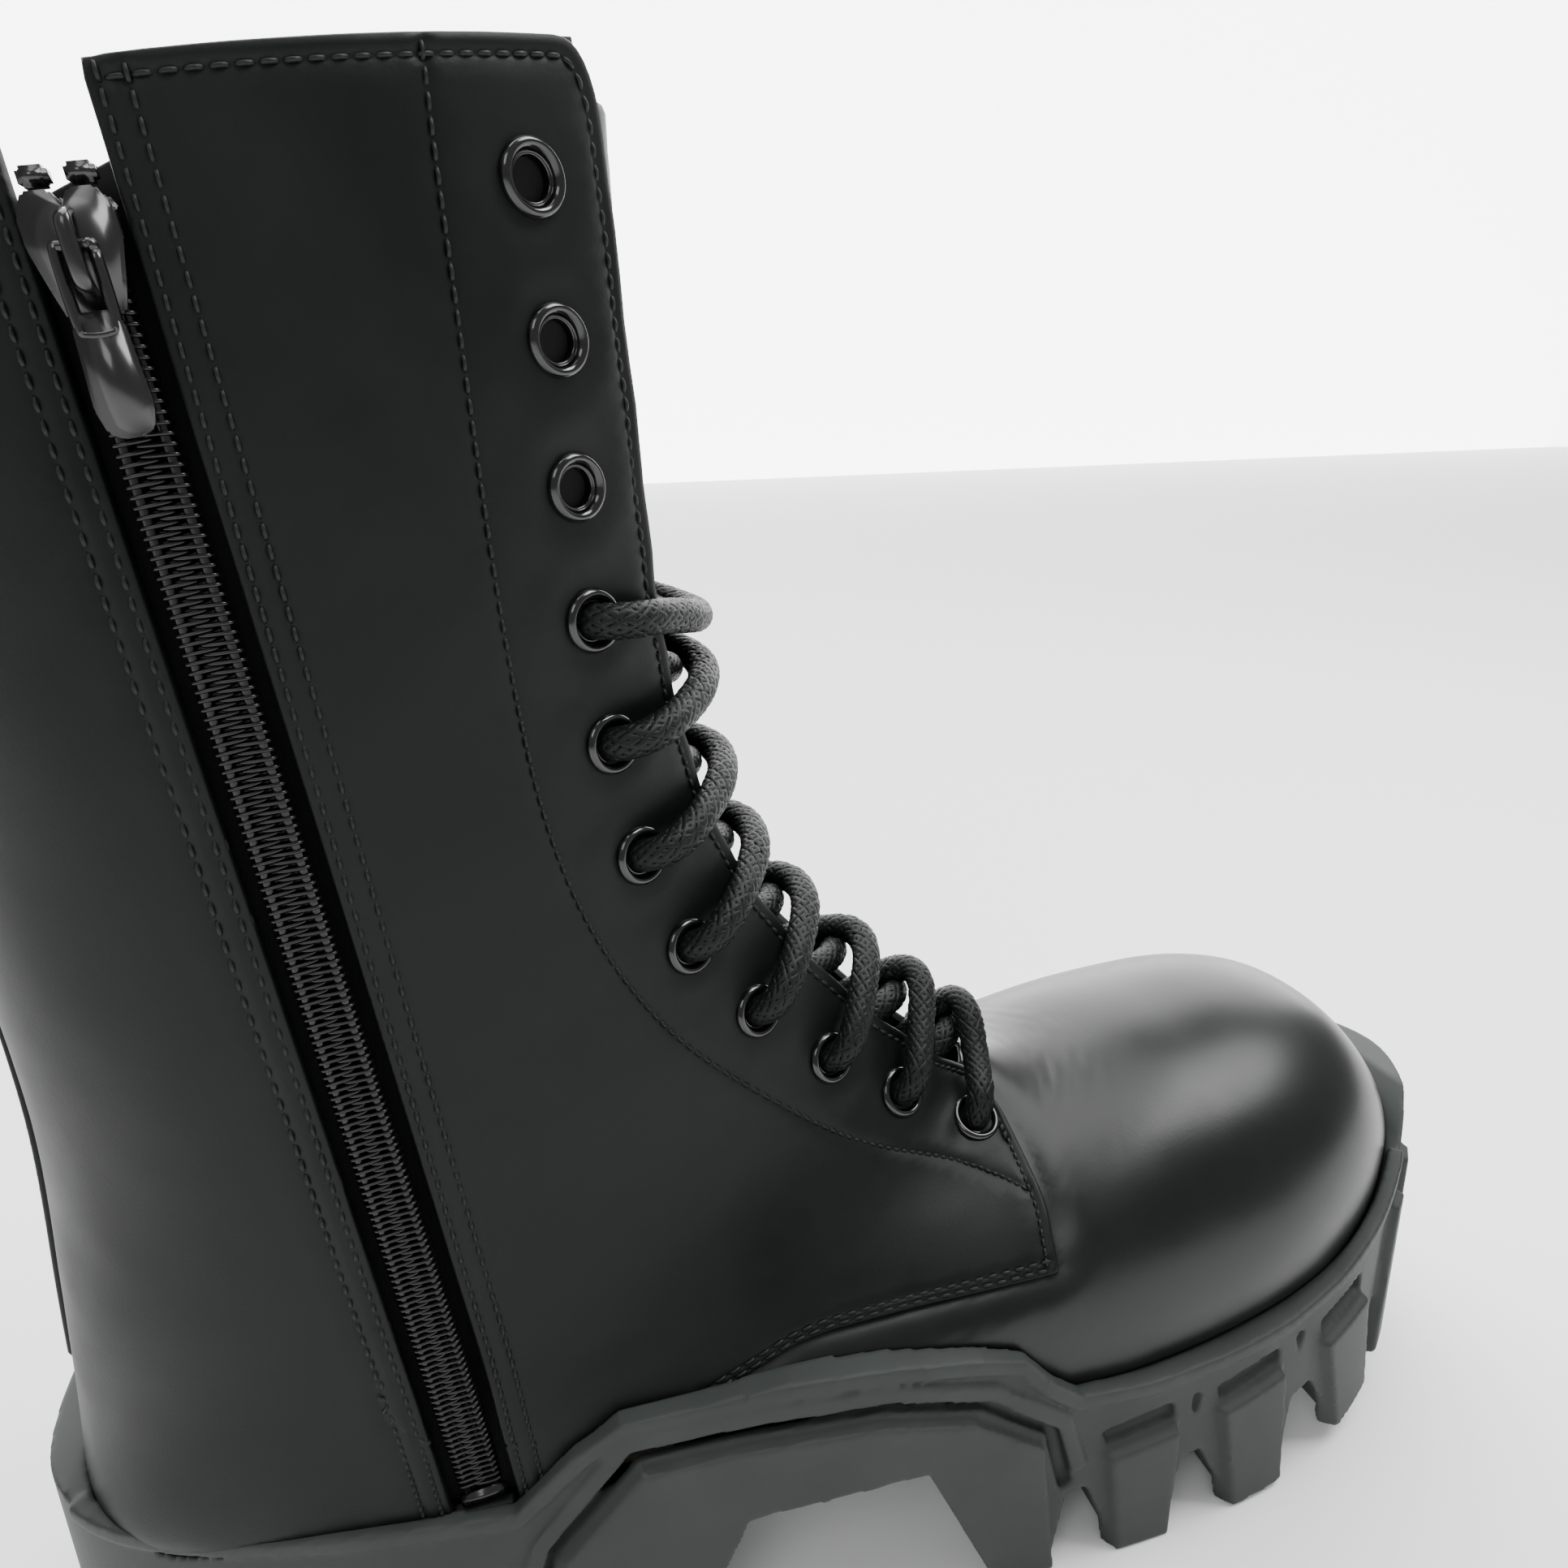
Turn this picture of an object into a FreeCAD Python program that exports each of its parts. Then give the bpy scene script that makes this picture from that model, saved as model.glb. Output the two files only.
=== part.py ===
"""Left lace-up leather boot with a medial side zip and a lugged rubber sole.

Frame: +X to the toe, +Y to the lateral (outer) side, +Z up, millimetres.  The origin is on the ground
under the middle of the sole.  Stations along the boot are written as distances from the back of the sole.
"""
import FreeCAD, Part
import Sketcher
import math
import os
from FreeCAD import Placement, Rotation, Vector

doc = FreeCAD.newDocument("lace_up_boot")

# ---------------------------------------------------------------- driving dimensions
DIMENSIONS = {
    "sole_length": 320.0,
    "leather": 2.0,
    "layer_gap": 0.15,
    "stiffener": 1.0,
    "lining": 1.2,
    "backstay_thickness": 1.5,
    "tongue_depth": 13.0,
    "tongue_thickness": 3.5,
    "seat_height": 41.0,
    "board_thickness": 2.2,
    "footbed_thickness": 4.5,
    "margin_width": 14.0,
    "lug_depth": 18.0,
    "eyelet_radius": 5.5,
    "eyelet_hole": 3.1,
    "eyelet_barrel": 3.6,
    "eyelet_flange": 1.3,
    "lace_diameter": 6.0,
    "laced_count": 8.0,
    "chain_length": 212.0,
    "chain_width": 7.8,
    "chain_thickness": 2.2,
    "chain_gap": 1.4,
    "zip_opening": 12.0,
    "tape_width": 30.0,
    "tape_thickness": 0.8,
    "slider_length": 14.0,
    "slider_width": 10.6,
    "slider_plate": 1.2,
    "pull_length": 22.0,
    "pull_width": 7.0,
    "shank_length": 108.0,
    "shank_width": 15.0,
    "shank_thickness": 1.2,
}
sheet = doc.addObject("Spreadsheet::Sheet", "dimensions")
for row, (alias, value) in enumerate(DIMENSIONS.items(), start=1):
    sheet.set(f"A{row}", alias)
    sheet.set(f"B{row}", str(value))
    sheet.setAlias(f"B{row}", alias)
doc.recompute()


def dim(alias):
    """Value of one driving dimension, read from the sheet."""
    return float(sheet.get(alias))


MIDDLE = dim("sole_length") / 2
MEDIAL, LATERAL = -1, 1


def at(x, y, z):
    """Point given by its distance from the back of the sole."""
    return Vector(x - MIDDLE, y, z)


# ---------------------------------------------------------------- the form of the upper
# Each section is a slice of the foot form from its front line to its back line, seen from the side:
# front x, front z, back x, back z, half width, roundness of the front, roundness of the back, and how
# far from the front the slice is widest.
SECTIONS = [
    (141.5, 292.0, 12.0, 267.0, 46.0, 1.55, 2.2, 0.60),
    (141.5, 247.0, 11.0, 228.0, 46.0, 1.55, 2.2, 0.60),
    (142.0, 207.0, 11.0, 190.0, 46.0, 1.50, 2.2, 0.60),
    (144.0, 184.0, 12.0, 154.0, 46.0, 1.50, 2.2, 0.60),
    (149.0, 164.0, 13.0, 120.0, 46.0, 1.50, 2.2, 0.60),
    (158.0, 146.0, 11.0, 88.0, 46.0, 1.50, 2.3, 0.61),
    (169.5, 129.0, 10.0, 60.0, 46.0, 1.50, 2.8, 0.63),
    (183.0, 111.5, 22.0, 43.0, 46.0, 1.50, 4.5, 0.68),
    (197.5, 95.5, 75.0, 41.0, 48.0, 1.55, 6.0, 0.72),
    (212.0, 91.5, 130.0, 40.0, 50.0, 1.75, 6.0, 0.74),
    (228.0, 95.0, 178.0, 38.0, 52.0, 2.05, 6.0, 0.76),
    (246.0, 98.5, 218.0, 38.0, 52.0, 2.10, 6.0, 0.76),
    (265.0, 100.0, 252.0, 41.0, 49.0, 2.15, 5.0, 0.76),
    (283.0, 97.0, 277.0, 45.0, 41.5, 2.20, 4.5, 0.76),
    (297.0, 86.5, 294.0, 50.0, 30.0, 2.20, 4.0, 0.72),
    (306.0, 72.5, 304.0, 55.0, 17.0, 2.20, 3.5, 0.65),
    (309.5, 62.5, 309.0, 59.0, 6.0, 2.00, 2.0, 0.50),
]
LAST = len(SECTIONS) - 1
EXTRA_HEIGHT = 9.0
TIP_DEPTH = 1.5


def inward(points, index, other):
    """Unit normal, in side view, of a line of points at one of them, towards the other line."""
    before = points[max(index - 1, 0)]
    after = points[min(index + 1, len(points) - 1)]
    run, rise = after[0] - before[0], after[1] - before[1]
    size = math.hypot(run, rise)
    normal = (-rise / size, run / size)
    here = points[index]
    facing = normal[0] * (other[0] - here[0]) + normal[1] * (other[1] - here[1])
    return normal if facing > 0 else (-normal[0], -normal[1])


def inset_sections(inset, extra=0.0):
    """The sections moved inwards by inset, which may be one number or one per section."""
    fronts = [(row[0], row[1]) for row in SECTIONS]
    backs = [(row[2], row[3]) for row in SECTIONS]
    rows = []
    for index, row in enumerate(SECTIONS):
        depth = inset[index] if isinstance(inset, (list, tuple)) else inset
        front_in = inward(fronts, index, backs[index])
        back_in = inward(backs, index, fronts[index])
        lift = extra if index == 0 else 0.0
        rows.append((
            row[0] + front_in[0] * depth,
            row[1] + front_in[1] * depth + lift,
            row[2] + back_in[0] * depth,
            row[3] + back_in[1] * depth + lift,
            max(row[4] - depth, 1.0),
            row[5], row[6], row[7],
        ))
    deepest = max(inset) if isinstance(inset, (list, tuple)) else inset
    return rows[:-1] if deepest > TIP_DEPTH else rows


def section_point(row, turn, side):
    """Point of one section: turn runs from 0 at the front line to 1 at the back line."""
    front_x, front_z, back_x, back_z, half, front_n, back_n, widest = row
    cosine, sine = math.cos(turn * math.pi), math.sin(turn * math.pi)
    power = 2.0 / (front_n if cosine > 0 else back_n)
    reach = math.copysign(abs(cosine) ** power, cosine)
    share = widest * (1 - reach) if cosine > 0 else widest - (1 - widest) * reach
    across = side * half * abs(sine) ** power
    return at(front_x + share * (back_x - front_x), across, front_z + share * (back_z - front_z))


def section_curve(row, points=15):
    """Closed smooth outline of one section, with the same knots for every section."""
    turns = [index / points for index in range(points + 1)]
    medial = [section_point(row, turn, MEDIAL) for turn in turns]
    lateral = [section_point(row, turn, LATERAL) for turn in turns[1:-1]]
    steps = [index / (2.0 * points) for index in range(2 * points + 1)]
    curve = Part.BSplineCurve()
    curve.interpolate(medial + lateral[::-1], PeriodicFlag=True, Parameters=steps)
    return curve


def form_surface(rows):
    """Surface skinned over the sections: each column of their poles is joined by one smooth line."""
    curves = [section_curve(row) for row in rows]
    places = [float(index) for index in range(len(rows))]
    lines = []
    for column in zip(*[curve.getPoles() for curve in curves]):
        line = Part.BSplineCurve()
        line.interpolate(list(column), Parameters=places)
        lines.append(line)
    surface = Part.BSplineSurface()
    surface.buildFromPolesMultsKnots(
        [line.getPoles() for line in lines],
        curves[0].getMultiplicities(), lines[0].getMultiplicities(),
        curves[0].getKnots(), lines[0].getKnots(), True, False, curves[0].Degree, lines[0].Degree)
    return surface


def form(inset, extra=0.0, sections=None):
    """Solid foot form, inset from the outside of the leather; sections limits it to the first few."""
    side = form_surface(inset_sections(inset, extra)[:sections]).toShape()
    caps = [Part.Face(Part.Wire(edge)) for edge in side.Edges if edge.isClosed()]
    skin = Part.makeShell([side] + caps)
    skin.sewShape()
    solid = Part.makeSolid(skin)
    if solid.Volume < 0:
        solid.reverse()
    return solid


def between(position):
    """Section values at a fractional position along the boot."""
    index = min(max(int(position), 0), LAST - 1)
    step = position - index
    first, second = SECTIONS[index], SECTIONS[index + 1]
    before = SECTIONS[index - 1] if index > 0 else [2 * a - b for a, b in zip(first, second)]
    after = SECTIONS[index + 2] if index < LAST - 1 else [2 * b - a for a, b in zip(first, second)]
    return [
        0.5 * (2 * b + (c - a) * step + (2 * a - 5 * b + 4 * c - d) * step ** 2
               + (3 * b - a - 3 * c + d) * step ** 3)
        for a, b, c, d in zip(before, first, second, after)
    ]


def on_surface(x, z, side):
    """Point of the outer surface that is seen at x, z in side view."""
    low, high = 0.0, float(LAST)
    for _ in range(50):
        guess = (low + high) / 2
        row = between(guess)
        cross = (row[2] - row[0]) * (z - row[1]) - (row[3] - row[1]) * (x - row[0])
        if cross < 0:
            high = guess
        else:
            low = guess
    row = between(guess)
    span = math.hypot(row[2] - row[0], row[3] - row[1])
    share = math.hypot(x - row[0], z - row[1]) / span
    reach = abs(1 - share / row[7]) if share < row[7] else (share - row[7]) / (1 - row[7])
    power = row[5] if share < row[7] else row[6]
    return at(x, side * row[4] * max(1 - reach ** power, 0.0) ** (1 / power), z)


def frame_on(place, side):
    """The surface's own point next to a place, and its outward normal."""
    surface = OUTER_SURFACE
    u, v = surface.parameter(place)
    normal = surface.normal(u, v)
    point = surface.value(u, v)
    return point, normal * math.copysign(1.0, normal.y * side)


# ---------------------------------------------------------------- prisms that cut panels out of the shells
FAR = 90.0


def outline_prism(points, low=-FAR, high=FAR):
    """Solid between two y values whose outline in side view is the given polygon."""
    corners = [at(x, low, z) for x, z in points]
    face = Part.Face(Part.makePolygon(corners + corners[:1]))
    return face.extrude(Vector(0, high - low, 0))


def curve_prism(points, corners, low=-FAR, high=FAR):
    """Like outline_prism, but the first points are joined by one smooth curve."""
    curve = Part.BSplineCurve()
    curve.interpolate([at(x, low, z) for x, z in points])
    ends = [at(x, low, z) for x, z in [points[-1]] + corners + [points[0]]]
    edges = [curve.toShape()]
    edges += [Part.makeLine(a, b) for a, b in zip(ends, ends[1:])]
    return Part.Face(Part.Wire(edges)).extrude(Vector(0, high - low, 0))


def half(side):
    """Everything on one side of the middle plane."""
    low = 0.0 if side == LATERAL else -FAR
    return Part.makeBox(500, FAR, 400, Vector(-MIDDLE - 60, low, -20))


def shell(outside, inside, sections=None):
    """Layer of the upper between two insets, open at the top."""
    return form(outside, 0.0, sections).cut(form(inside, EXTRA_HEIGHT, sections))


def plan_prism(outline, low, high):
    """Solid between two heights whose outline from above is a smooth closed curve of x, y points."""
    curve = Part.BSplineCurve()
    curve.interpolate([at(x, y, low) for x, y in outline], PeriodicFlag=True)
    return Part.Face(Part.Wire(curve.toShape())).extrude(Vector(0, 0, high - low))


def main_solid(shape):
    """The shape's solids without the slivers that a cut may leave."""
    solids = sorted(shape.Solids, key=lambda one: one.Volume)
    kept = [one for one in solids if one.Volume > solids[-1].Volume * 0.02]
    return kept[0] if len(kept) == 1 else Part.makeCompound(kept)


NODES = []


def node(name, shape):
    """Free-form sub-part with its own label."""
    item = doc.addObject("Part::Feature", name)
    item.Shape = main_solid(shape)
    item.Label = name
    NODES.append(item)
    return item


# ---------------------------------------------------------------- outlines on the upper, in side view
THROAT = [(24.0, 310.0), (22.0, 285.0), (20.8, 260.0), (18.6, 227.0), (16.4, 195.0), (14.5, 160.0),
          (12.5, 132.0), (9.0, 105.0), (6.5, 86.0)]
QUARTER_FRONT = [(192.0, 112.0), (199.5, 88.0), (200.0, 80.0), (199.0, 74.0), (198.2, 68.5)]
LOWER_SEAM = [(198.2, 68.5), (180.0, 67.0), (162.0, 66.0), (146.0, 65.0), (136.0, 62.5), (126.0, 59.5),
              (118.0, 56.0)]
FACING_LINE = [(98.0, 310.0), (100.5, 260.0), (103.0, 200.0), (108.5, 163.0), (121.0, 134.0), (140.0, 111.0),
               (165.0, 91.0), (199.5, 79.0)]
EYELET_PLACES = [(113.3, 268.4), (115.1, 246.8), (116.2, 225.3), (117.2, 204.0), (118.8, 182.8), (122.4, 161.8),
                 (130.5, 142.0), (143.6, 124.6), (159.6, 108.8), (176.0, 96.2), (192.8, 87.4)]
ZIP_BOTTOM = (82.5, 50.0)
ZIP_TOP = (57.0, 262.0)
ZIP_DEPTH = 45.2

OUTER_SURFACE = form_surface(inset_sections(0.0))

# ---------------------------------------------------------------- sole outlines
SOLE_MEDIAL = [(0.5, 0), (4, 23), (18, 38), (45, 47), (80, 51.5), (122, 53), (165, 56), (200, 57.5), (230, 57),
               (256, 54), (280, 46.5), (298, 35), (313, 18.5)]
SOLE_LATERAL = [(320, 0), (314, 18.5), (300, 35), (283, 46.5), (260, 54), (235, 57.2), (200, 57), (165, 55),
                (122, 52), (80, 51.5), (45, 47), (18, 38), (4, 23)]
SOLE_PLAN = [(x, -y) for x, y in SOLE_MEDIAL] + SOLE_LATERAL
RIM = [(-4, 55), (10, 54), (40, 50), (66, 48), (88, 46.5), (100, 57), (108, 61.5), (122, 61.5), (140, 62.5),
       (160, 61.5), (178, 59), (187, 56.5), (193, 49.5), (200, 44), (216, 42.5), (236, 43.5), (254, 46),
       (270, 50), (286, 56.5), (300, 65), (309, 73), (324, 73)]
LUG = dim("lug_depth")
TREAD = [(324, 44), (319, 40), (311, 26), (302, 17), (295, 31), (289, 29), (286.5, 8.5), (274, 4.5),
         (263, 23), (257.5, 21.5), (254.5, 1.4), (240.5, 0.4), (231, LUG + 0.5), (226.5, LUG), (223, 0),
         (210.5, 0), (203, LUG), (198.5, LUG), (195.5, 0), (182.5, 0), (167, 35), (130, 33), (127, 27),
         (116, 0), (92, 0), (89.5, 11), (83, 11), (80.5, 0), (58, 0), (55.5, 11), (49, 11), (46.5, 0),
         (24, 0), (10, 3), (0, 9), (-4, 12)]


def seat(lift, low=-20.0):
    """Everything below the bottom line of the foot form raised by lift."""
    base = [(row[2], row[3] + lift) for row in SECTIONS[8:]]
    start = [(-30.0, dim("seat_height") + 2 + lift), (20.0, dim("seat_height") + 1 + lift)]
    return curve_prism(start + base + [(345.0, 78.0 + lift)], [(345.0, low), (-30.0, low)])


def inner_plan(along, across, low, high):
    """Prism of the sole's outline drawn in towards the middle by two amounts."""
    scale_x = 1 - along / MIDDLE
    scale_y = 1 - across / max(y for _, y in SOLE_LATERAL)
    outline = [(MIDDLE + (x - MIDDLE) * scale_x, y * scale_y) for x, y in SOLE_PLAN]
    return plan_prism(outline, low, high)


def slab(low_x, high_x, low_z=-10.0, high_z=400.0, low_y=-FAR, high_y=FAR):
    """Plain block between two stations."""
    return Part.makeBox(high_x - low_x, high_y - low_y, high_z - low_z, at(low_x, low_y, low_z))


# ---------------------------------------------------------------- cutting regions shared by the panels
GAP = dim("layer_gap")
LEATHER = dim("leather")
STIFFENER_IN = LEATHER + GAP
STIFFENER_OUT = STIFFENER_IN + dim("stiffener")
LINING_IN = STIFFENER_OUT + GAP
LINING_OUT = LINING_IN + dim("lining")
BOARD_TOP = STIFFENER_IN + dim("board_thickness")
LINING_TOE = 290.0
FLOOR_CLEAR = 1.5

vamp_zone = outline_prism(
    QUARTER_FRONT + LOWER_SEAM[1:] + [(118.0, 10.0), (400.0, 10.0), (400.0, 140.0), (192.0, 140.0)])
throat_outline = [Vector(-60, -y, z) for y, z in THROAT] + [Vector(-60, y, z) for y, z in THROAT[::-1]]
throat = Part.Face(Part.makePolygon(throat_outline + throat_outline[:1])).extrude(Vector(200, 0, 0))
margin = dim("margin_width")
margin_opening = inner_plan(margin + 8, margin + 8, 20.0, 58.0)


def zip_zone(width):
    """Strip along the zip, on the medial side."""
    lean = (ZIP_TOP[0] - ZIP_BOTTOM[0]) / (ZIP_TOP[1] - ZIP_BOTTOM[1])
    low_z, high_z = 20.0, 320.0
    low_x = ZIP_BOTTOM[0] + lean * (low_z - ZIP_BOTTOM[1])
    high_x = ZIP_BOTTOM[0] + lean * (high_z - ZIP_BOTTOM[1])
    reach = width / 2
    corners = [(low_x - reach, low_z), (low_x + reach, low_z), (high_x + reach, high_z), (high_x - reach, high_z)]
    return outline_prism(corners, -FAR, -15.0)


def zip_side(front):
    """Everything on one side of the zip's middle line."""
    lean = (ZIP_TOP[0] - ZIP_BOTTOM[0]) / (ZIP_TOP[1] - ZIP_BOTTOM[1])
    low_x = ZIP_BOTTOM[0] - lean * ZIP_BOTTOM[1]
    high_x = low_x + lean * 400.0
    edge = 450.0 if front else -60.0
    return outline_prism([(low_x, 0.0), (edge, 0.0), (edge, 400.0), (high_x, 400.0)])


zip_slot = zip_zone(dim("zip_opening"))
zip_clear = zip_zone(dim("tape_width") + 1.0)
tape_zone = zip_zone(dim("tape_width"))

# ---------------------------------------------------------------- eyelets' places
def lacing_frames(side):
    """Point and outward normal of each eyelet, from the top down."""
    return [frame_on(on_surface(x, z, side), side) for x, z in EYELET_PLACES]


EYELETS = {side: lacing_frames(side) for side in (MEDIAL, LATERAL)}
print("eyelets", len(EYELETS[MEDIAL]), [tuple(round(v, 1) for v in p) for p, n in EYELETS[MEDIAL]])


def facing_out(point, normal):
    """Placement whose Z axis runs out of the leather."""
    return Placement(point, Rotation(Vector(0, 0, 1), normal))


def eyelet_holes(side):
    """Cylinders that clear the eyelets' barrels."""
    holes = []
    for point, normal in EYELETS[side]:
        hole = Part.makeCylinder(dim("eyelet_barrel") + 0.05, 16.0, Vector(0, 0, -8.0))
        hole.Placement = facing_out(point, normal)
        holes.append(hole)
    return Part.makeCompound(holes)


HOLES = {side: eyelet_holes(side) for side in (MEDIAL, LATERAL)}

# ---------------------------------------------------------------- sole unit
heel_core = inner_plan(26, 20, 15.0, 34.0).common(slab(20, 100))
sole_block = outline_prism(RIM + TREAD).common(plan_prism(SOLE_PLAN, -5.0, 90.0))
sole_unit = sole_block.cut(form(-GAP, 60.0)).cut(inner_plan(25.8, 19.8, 14.8, 34.2).common(slab(19.8, 100.2)))
node("outsole", sole_unit)
node("heel_core", heel_core)

# ---------------------------------------------------------------- upper panels
outer_layer = shell(0.0, LEATHER)
vamp_leather = outer_layer.common(vamp_zone).cut(margin_opening)
quarters = outer_layer.cut(vamp_zone).cut(throat).cut(margin_opening)
node("vamp", vamp_leather)
medial_quarter = quarters.common(half(MEDIAL)).cut(zip_slot).cut(HOLES[MEDIAL])
node("quarter_medial_front", medial_quarter.common(zip_side(True)))
node("quarter_medial_rear", medial_quarter.common(zip_side(False)))
node("quarter_lateral", quarters.common(half(LATERAL)).cut(HOLES[LATERAL]))

stay_zone = slab(-20, 70, 57.0, 262.0, -13.0, 13.0)
node("backstay", form(-GAP / 2 - dim("backstay_thickness"), 20.0).cut(form(-GAP / 2, 40.0)).common(stay_zone))

stiffener_layer = shell(STIFFENER_IN, STIFFENER_OUT).cut(seat(BOARD_TOP + GAP))
node("toe_puff", stiffener_layer.common(slab(250, 340)))
counter_zone = outline_prism([(-30, 20), (98, 20), (94, 66), (70, 98), (40, 112), (-30, 116)])
node("heel_counter", stiffener_layer.common(counter_zone).cut(zip_clear))
facing_zone = outline_prism(FACING_LINE + [(400.0, 79.0), (400.0, 310.0)])
facings = stiffener_layer.common(facing_zone).cut(vamp_zone).cut(throat)
node("facing_medial", facings.common(half(MEDIAL)).cut(HOLES[MEDIAL]))
node("facing_lateral", facings.common(half(LATERAL)).cut(HOLES[LATERAL]))

lining_layer = shell(LINING_IN, LINING_OUT).cut(seat(BOARD_TOP + GAP))
# The vamp's lining is walls only, the same on both sides: one half is cut out and mirrored.
half_lining = form(LINING_IN).common(slab(-40.0, LINING_TOE)).common(half(MEDIAL)).common(vamp_zone)
half_lining = half_lining.cut(form(LINING_OUT, EXTRA_HEIGHT)).cut(seat(LINING_OUT + FLOOR_CLEAR))
node("lining_vamp", half_lining.fuse(half_lining.mirror(Vector(0, 0, 0), Vector(0, 1, 0))))
quarter_lining = lining_layer.cut(vamp_zone).cut(throat)
node("lining_medial", quarter_lining.common(half(MEDIAL)).cut(zip_clear).cut(HOLES[MEDIAL]))
node("lining_lateral", quarter_lining.common(half(LATERAL)).cut(HOLES[LATERAL]))

collar_zone = outline_prism([(-40, 235.0), (200, 281.3), (200, 420.0), (-40, 420.0)])
collar_layer = shell(LINING_OUT + GAP, LINING_OUT + GAP + 1.0, 9).common(collar_zone).cut(throat)
node("collar_facing", collar_layer.cut(zip_clear).cut(facing_zone))

tongue_top = dim("tongue_depth")
tongue_insets = [tongue_top] * 7 + [12.5, 11.0, 8.0, 5.6, 5.0] + [5.0] * (LAST - 11)
tongue_under = [inset + dim("tongue_thickness") for inset in tongue_insets]
tongue_zone = outline_prism([(92, 277.0), (97, 240), (99, 200), (105, 160), (119, 128), (141, 104), (166, 87),
                             (190, 78), (222, 74), (222, 290.0), (150, 288.5)])
tongue_shape = form(tongue_insets, 0.0, 12).cut(form(tongue_under, 9.0, 12)).common(tongue_zone)
node("tongue", tongue_shape)

underflap_layer = shell(LINING_OUT + 2.2, LINING_OUT + 3.2, 10)
underflap = underflap_layer.common(zip_zone(dim("tape_width") + 14)).cut(seat(BOARD_TOP + 6.0))
node("zip_underflap", underflap)

# ---------------------------------------------------------------- inside the foot
node("insole_board", form(STIFFENER_IN).common(seat(BOARD_TOP)))
footbed_low = BOARD_TOP + GAP
footbed_form = form(LINING_OUT + GAP).common(seat(footbed_low + dim("footbed_thickness")))
node("footbed", footbed_form.cut(seat(footbed_low)))
shank_slot = slab(60, 178, 30, 60, -8.0, 8.0)
node("bottom_filler", outer_layer.common(margin_opening).cut(shank_slot))


# ---------------------------------------------------------------- helpers for bodies with sketches
def new_body(name):
    """Empty PartDesign body with its own label."""
    body = doc.addObject("PartDesign::Body", name)
    body.Label = name
    return body


def plane_of(body, role):
    """One of the body's own origin planes."""
    return next(feature for feature in body.Origin.OriginFeatures if feature.Role == role)


def sketch_on(body, name, role, offset):
    """Sketch on an origin plane, moved along and across it by offset."""
    sketch = body.newObject("Sketcher::SketchObject", name)
    sketch.AttachmentSupport = [(plane_of(body, role), "")]
    sketch.MapMode = "FlatFace"
    sketch.AttachmentOffset = Placement(Vector(*offset), Rotation())
    return sketch


def circle_sketch(body, name, radius, role="XY_Plane", offset=(0, 0, 0)):
    """Circle whose radius is an expression on the sheet."""
    sketch = sketch_on(body, name, role, offset)
    sketch.addGeometry(Part.Circle(Vector(), Vector(0, 0, 1), 5))
    sketch.addConstraint(Sketcher.Constraint("Coincident", 0, 3, -1, 1))
    sketch.addConstraint(Sketcher.Constraint("Radius", 0, 5))
    sketch.setExpression("Constraints[1]", radius)
    return sketch


def box_sketch(body, name, width, height, role="XY_Plane", offset=(0, 0, 0)):
    """Rectangle about the sketch's origin whose sides are expressions on the sheet."""
    sketch = sketch_on(body, name, role, offset)
    corners = [Vector(-5, -5, 0), Vector(5, -5, 0), Vector(5, 5, 0), Vector(-5, 5, 0)]
    for first, second in zip(corners, corners[1:] + corners[:1]):
        sketch.addGeometry(Part.LineSegment(first, second))
    for line in range(4):
        sketch.addConstraint(Sketcher.Constraint("Coincident", line, 2, (line + 1) % 4, 1))
    for line, kind in enumerate(("Horizontal", "Vertical", "Horizontal", "Vertical")):
        sketch.addConstraint(Sketcher.Constraint(kind, line))
    sketch.addConstraint(Sketcher.Constraint("Symmetric", 0, 1, 1, 2, -1, 1))
    sketch.addConstraint(Sketcher.Constraint("Distance", 0, 10))
    sketch.addConstraint(Sketcher.Constraint("Distance", 1, 10))
    sketch.setExpression("Constraints[9]", width)
    sketch.setExpression("Constraints[10]", height)
    return sketch


def extrude(body, kind, sketch, length, midplane=False, reverse=False):
    """Pad or Pocket of a sketch by an expression."""
    feature = body.newObject(f"PartDesign::{kind}", f"{sketch.Name}_{kind}")
    feature.Profile = sketch
    feature.setExpression("Length", length)
    if hasattr(feature, "SideType"):
        feature.SideType = "Symmetric" if midplane else "One side"
    else:
        feature.Midplane = midplane
    feature.Reversed = reverse
    body.Tip = feature
    doc.recompute()
    return feature


def keep(body, placement=Placement()):
    """Place a finished body and count it as a node."""
    body.Placement = placement
    NODES.append(body)
    return body


def group(name, body, placements):
    """One node made of several separate copies of a piece."""
    copies = []
    for placement in placements:
        copy = body.Shape.copy()
        copy.Placement = placement
        copies.append(copy)
    item = doc.addObject("Part::Feature", name)
    item.Shape = Part.makeCompound(copies)
    item.Label = name
    NODES.append(item)
    return item


# ---------------------------------------------------------------- eyelets and their washers
eyelet = new_body("eyelet")
extrude(eyelet, "Pad", circle_sketch(eyelet, "flange", "dimensions.eyelet_radius", offset=(0, 0, 0.05)),
        "dimensions.eyelet_flange")
extrude(eyelet, "Pad", circle_sketch(eyelet, "barrel", "dimensions.eyelet_barrel", offset=(0, 0, 0.1)),
        "dimensions.leather + dimensions.stiffener + dimensions.lining + 1.4", reverse=True)
extrude(eyelet, "Pocket", circle_sketch(eyelet, "hole", "dimensions.eyelet_hole", offset=(0, 0, 9)),
        "20", midplane=False)
washer = new_body("washer")
extrude(washer, "Pad", circle_sketch(washer, "washer_disc", "dimensions.eyelet_radius", offset=(0, 0, -5.75)),
        "0.5")
extrude(washer, "Pocket", circle_sketch(washer, "washer_hole", "dimensions.eyelet_barrel + 0.02"), "20",
        midplane=False)
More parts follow.
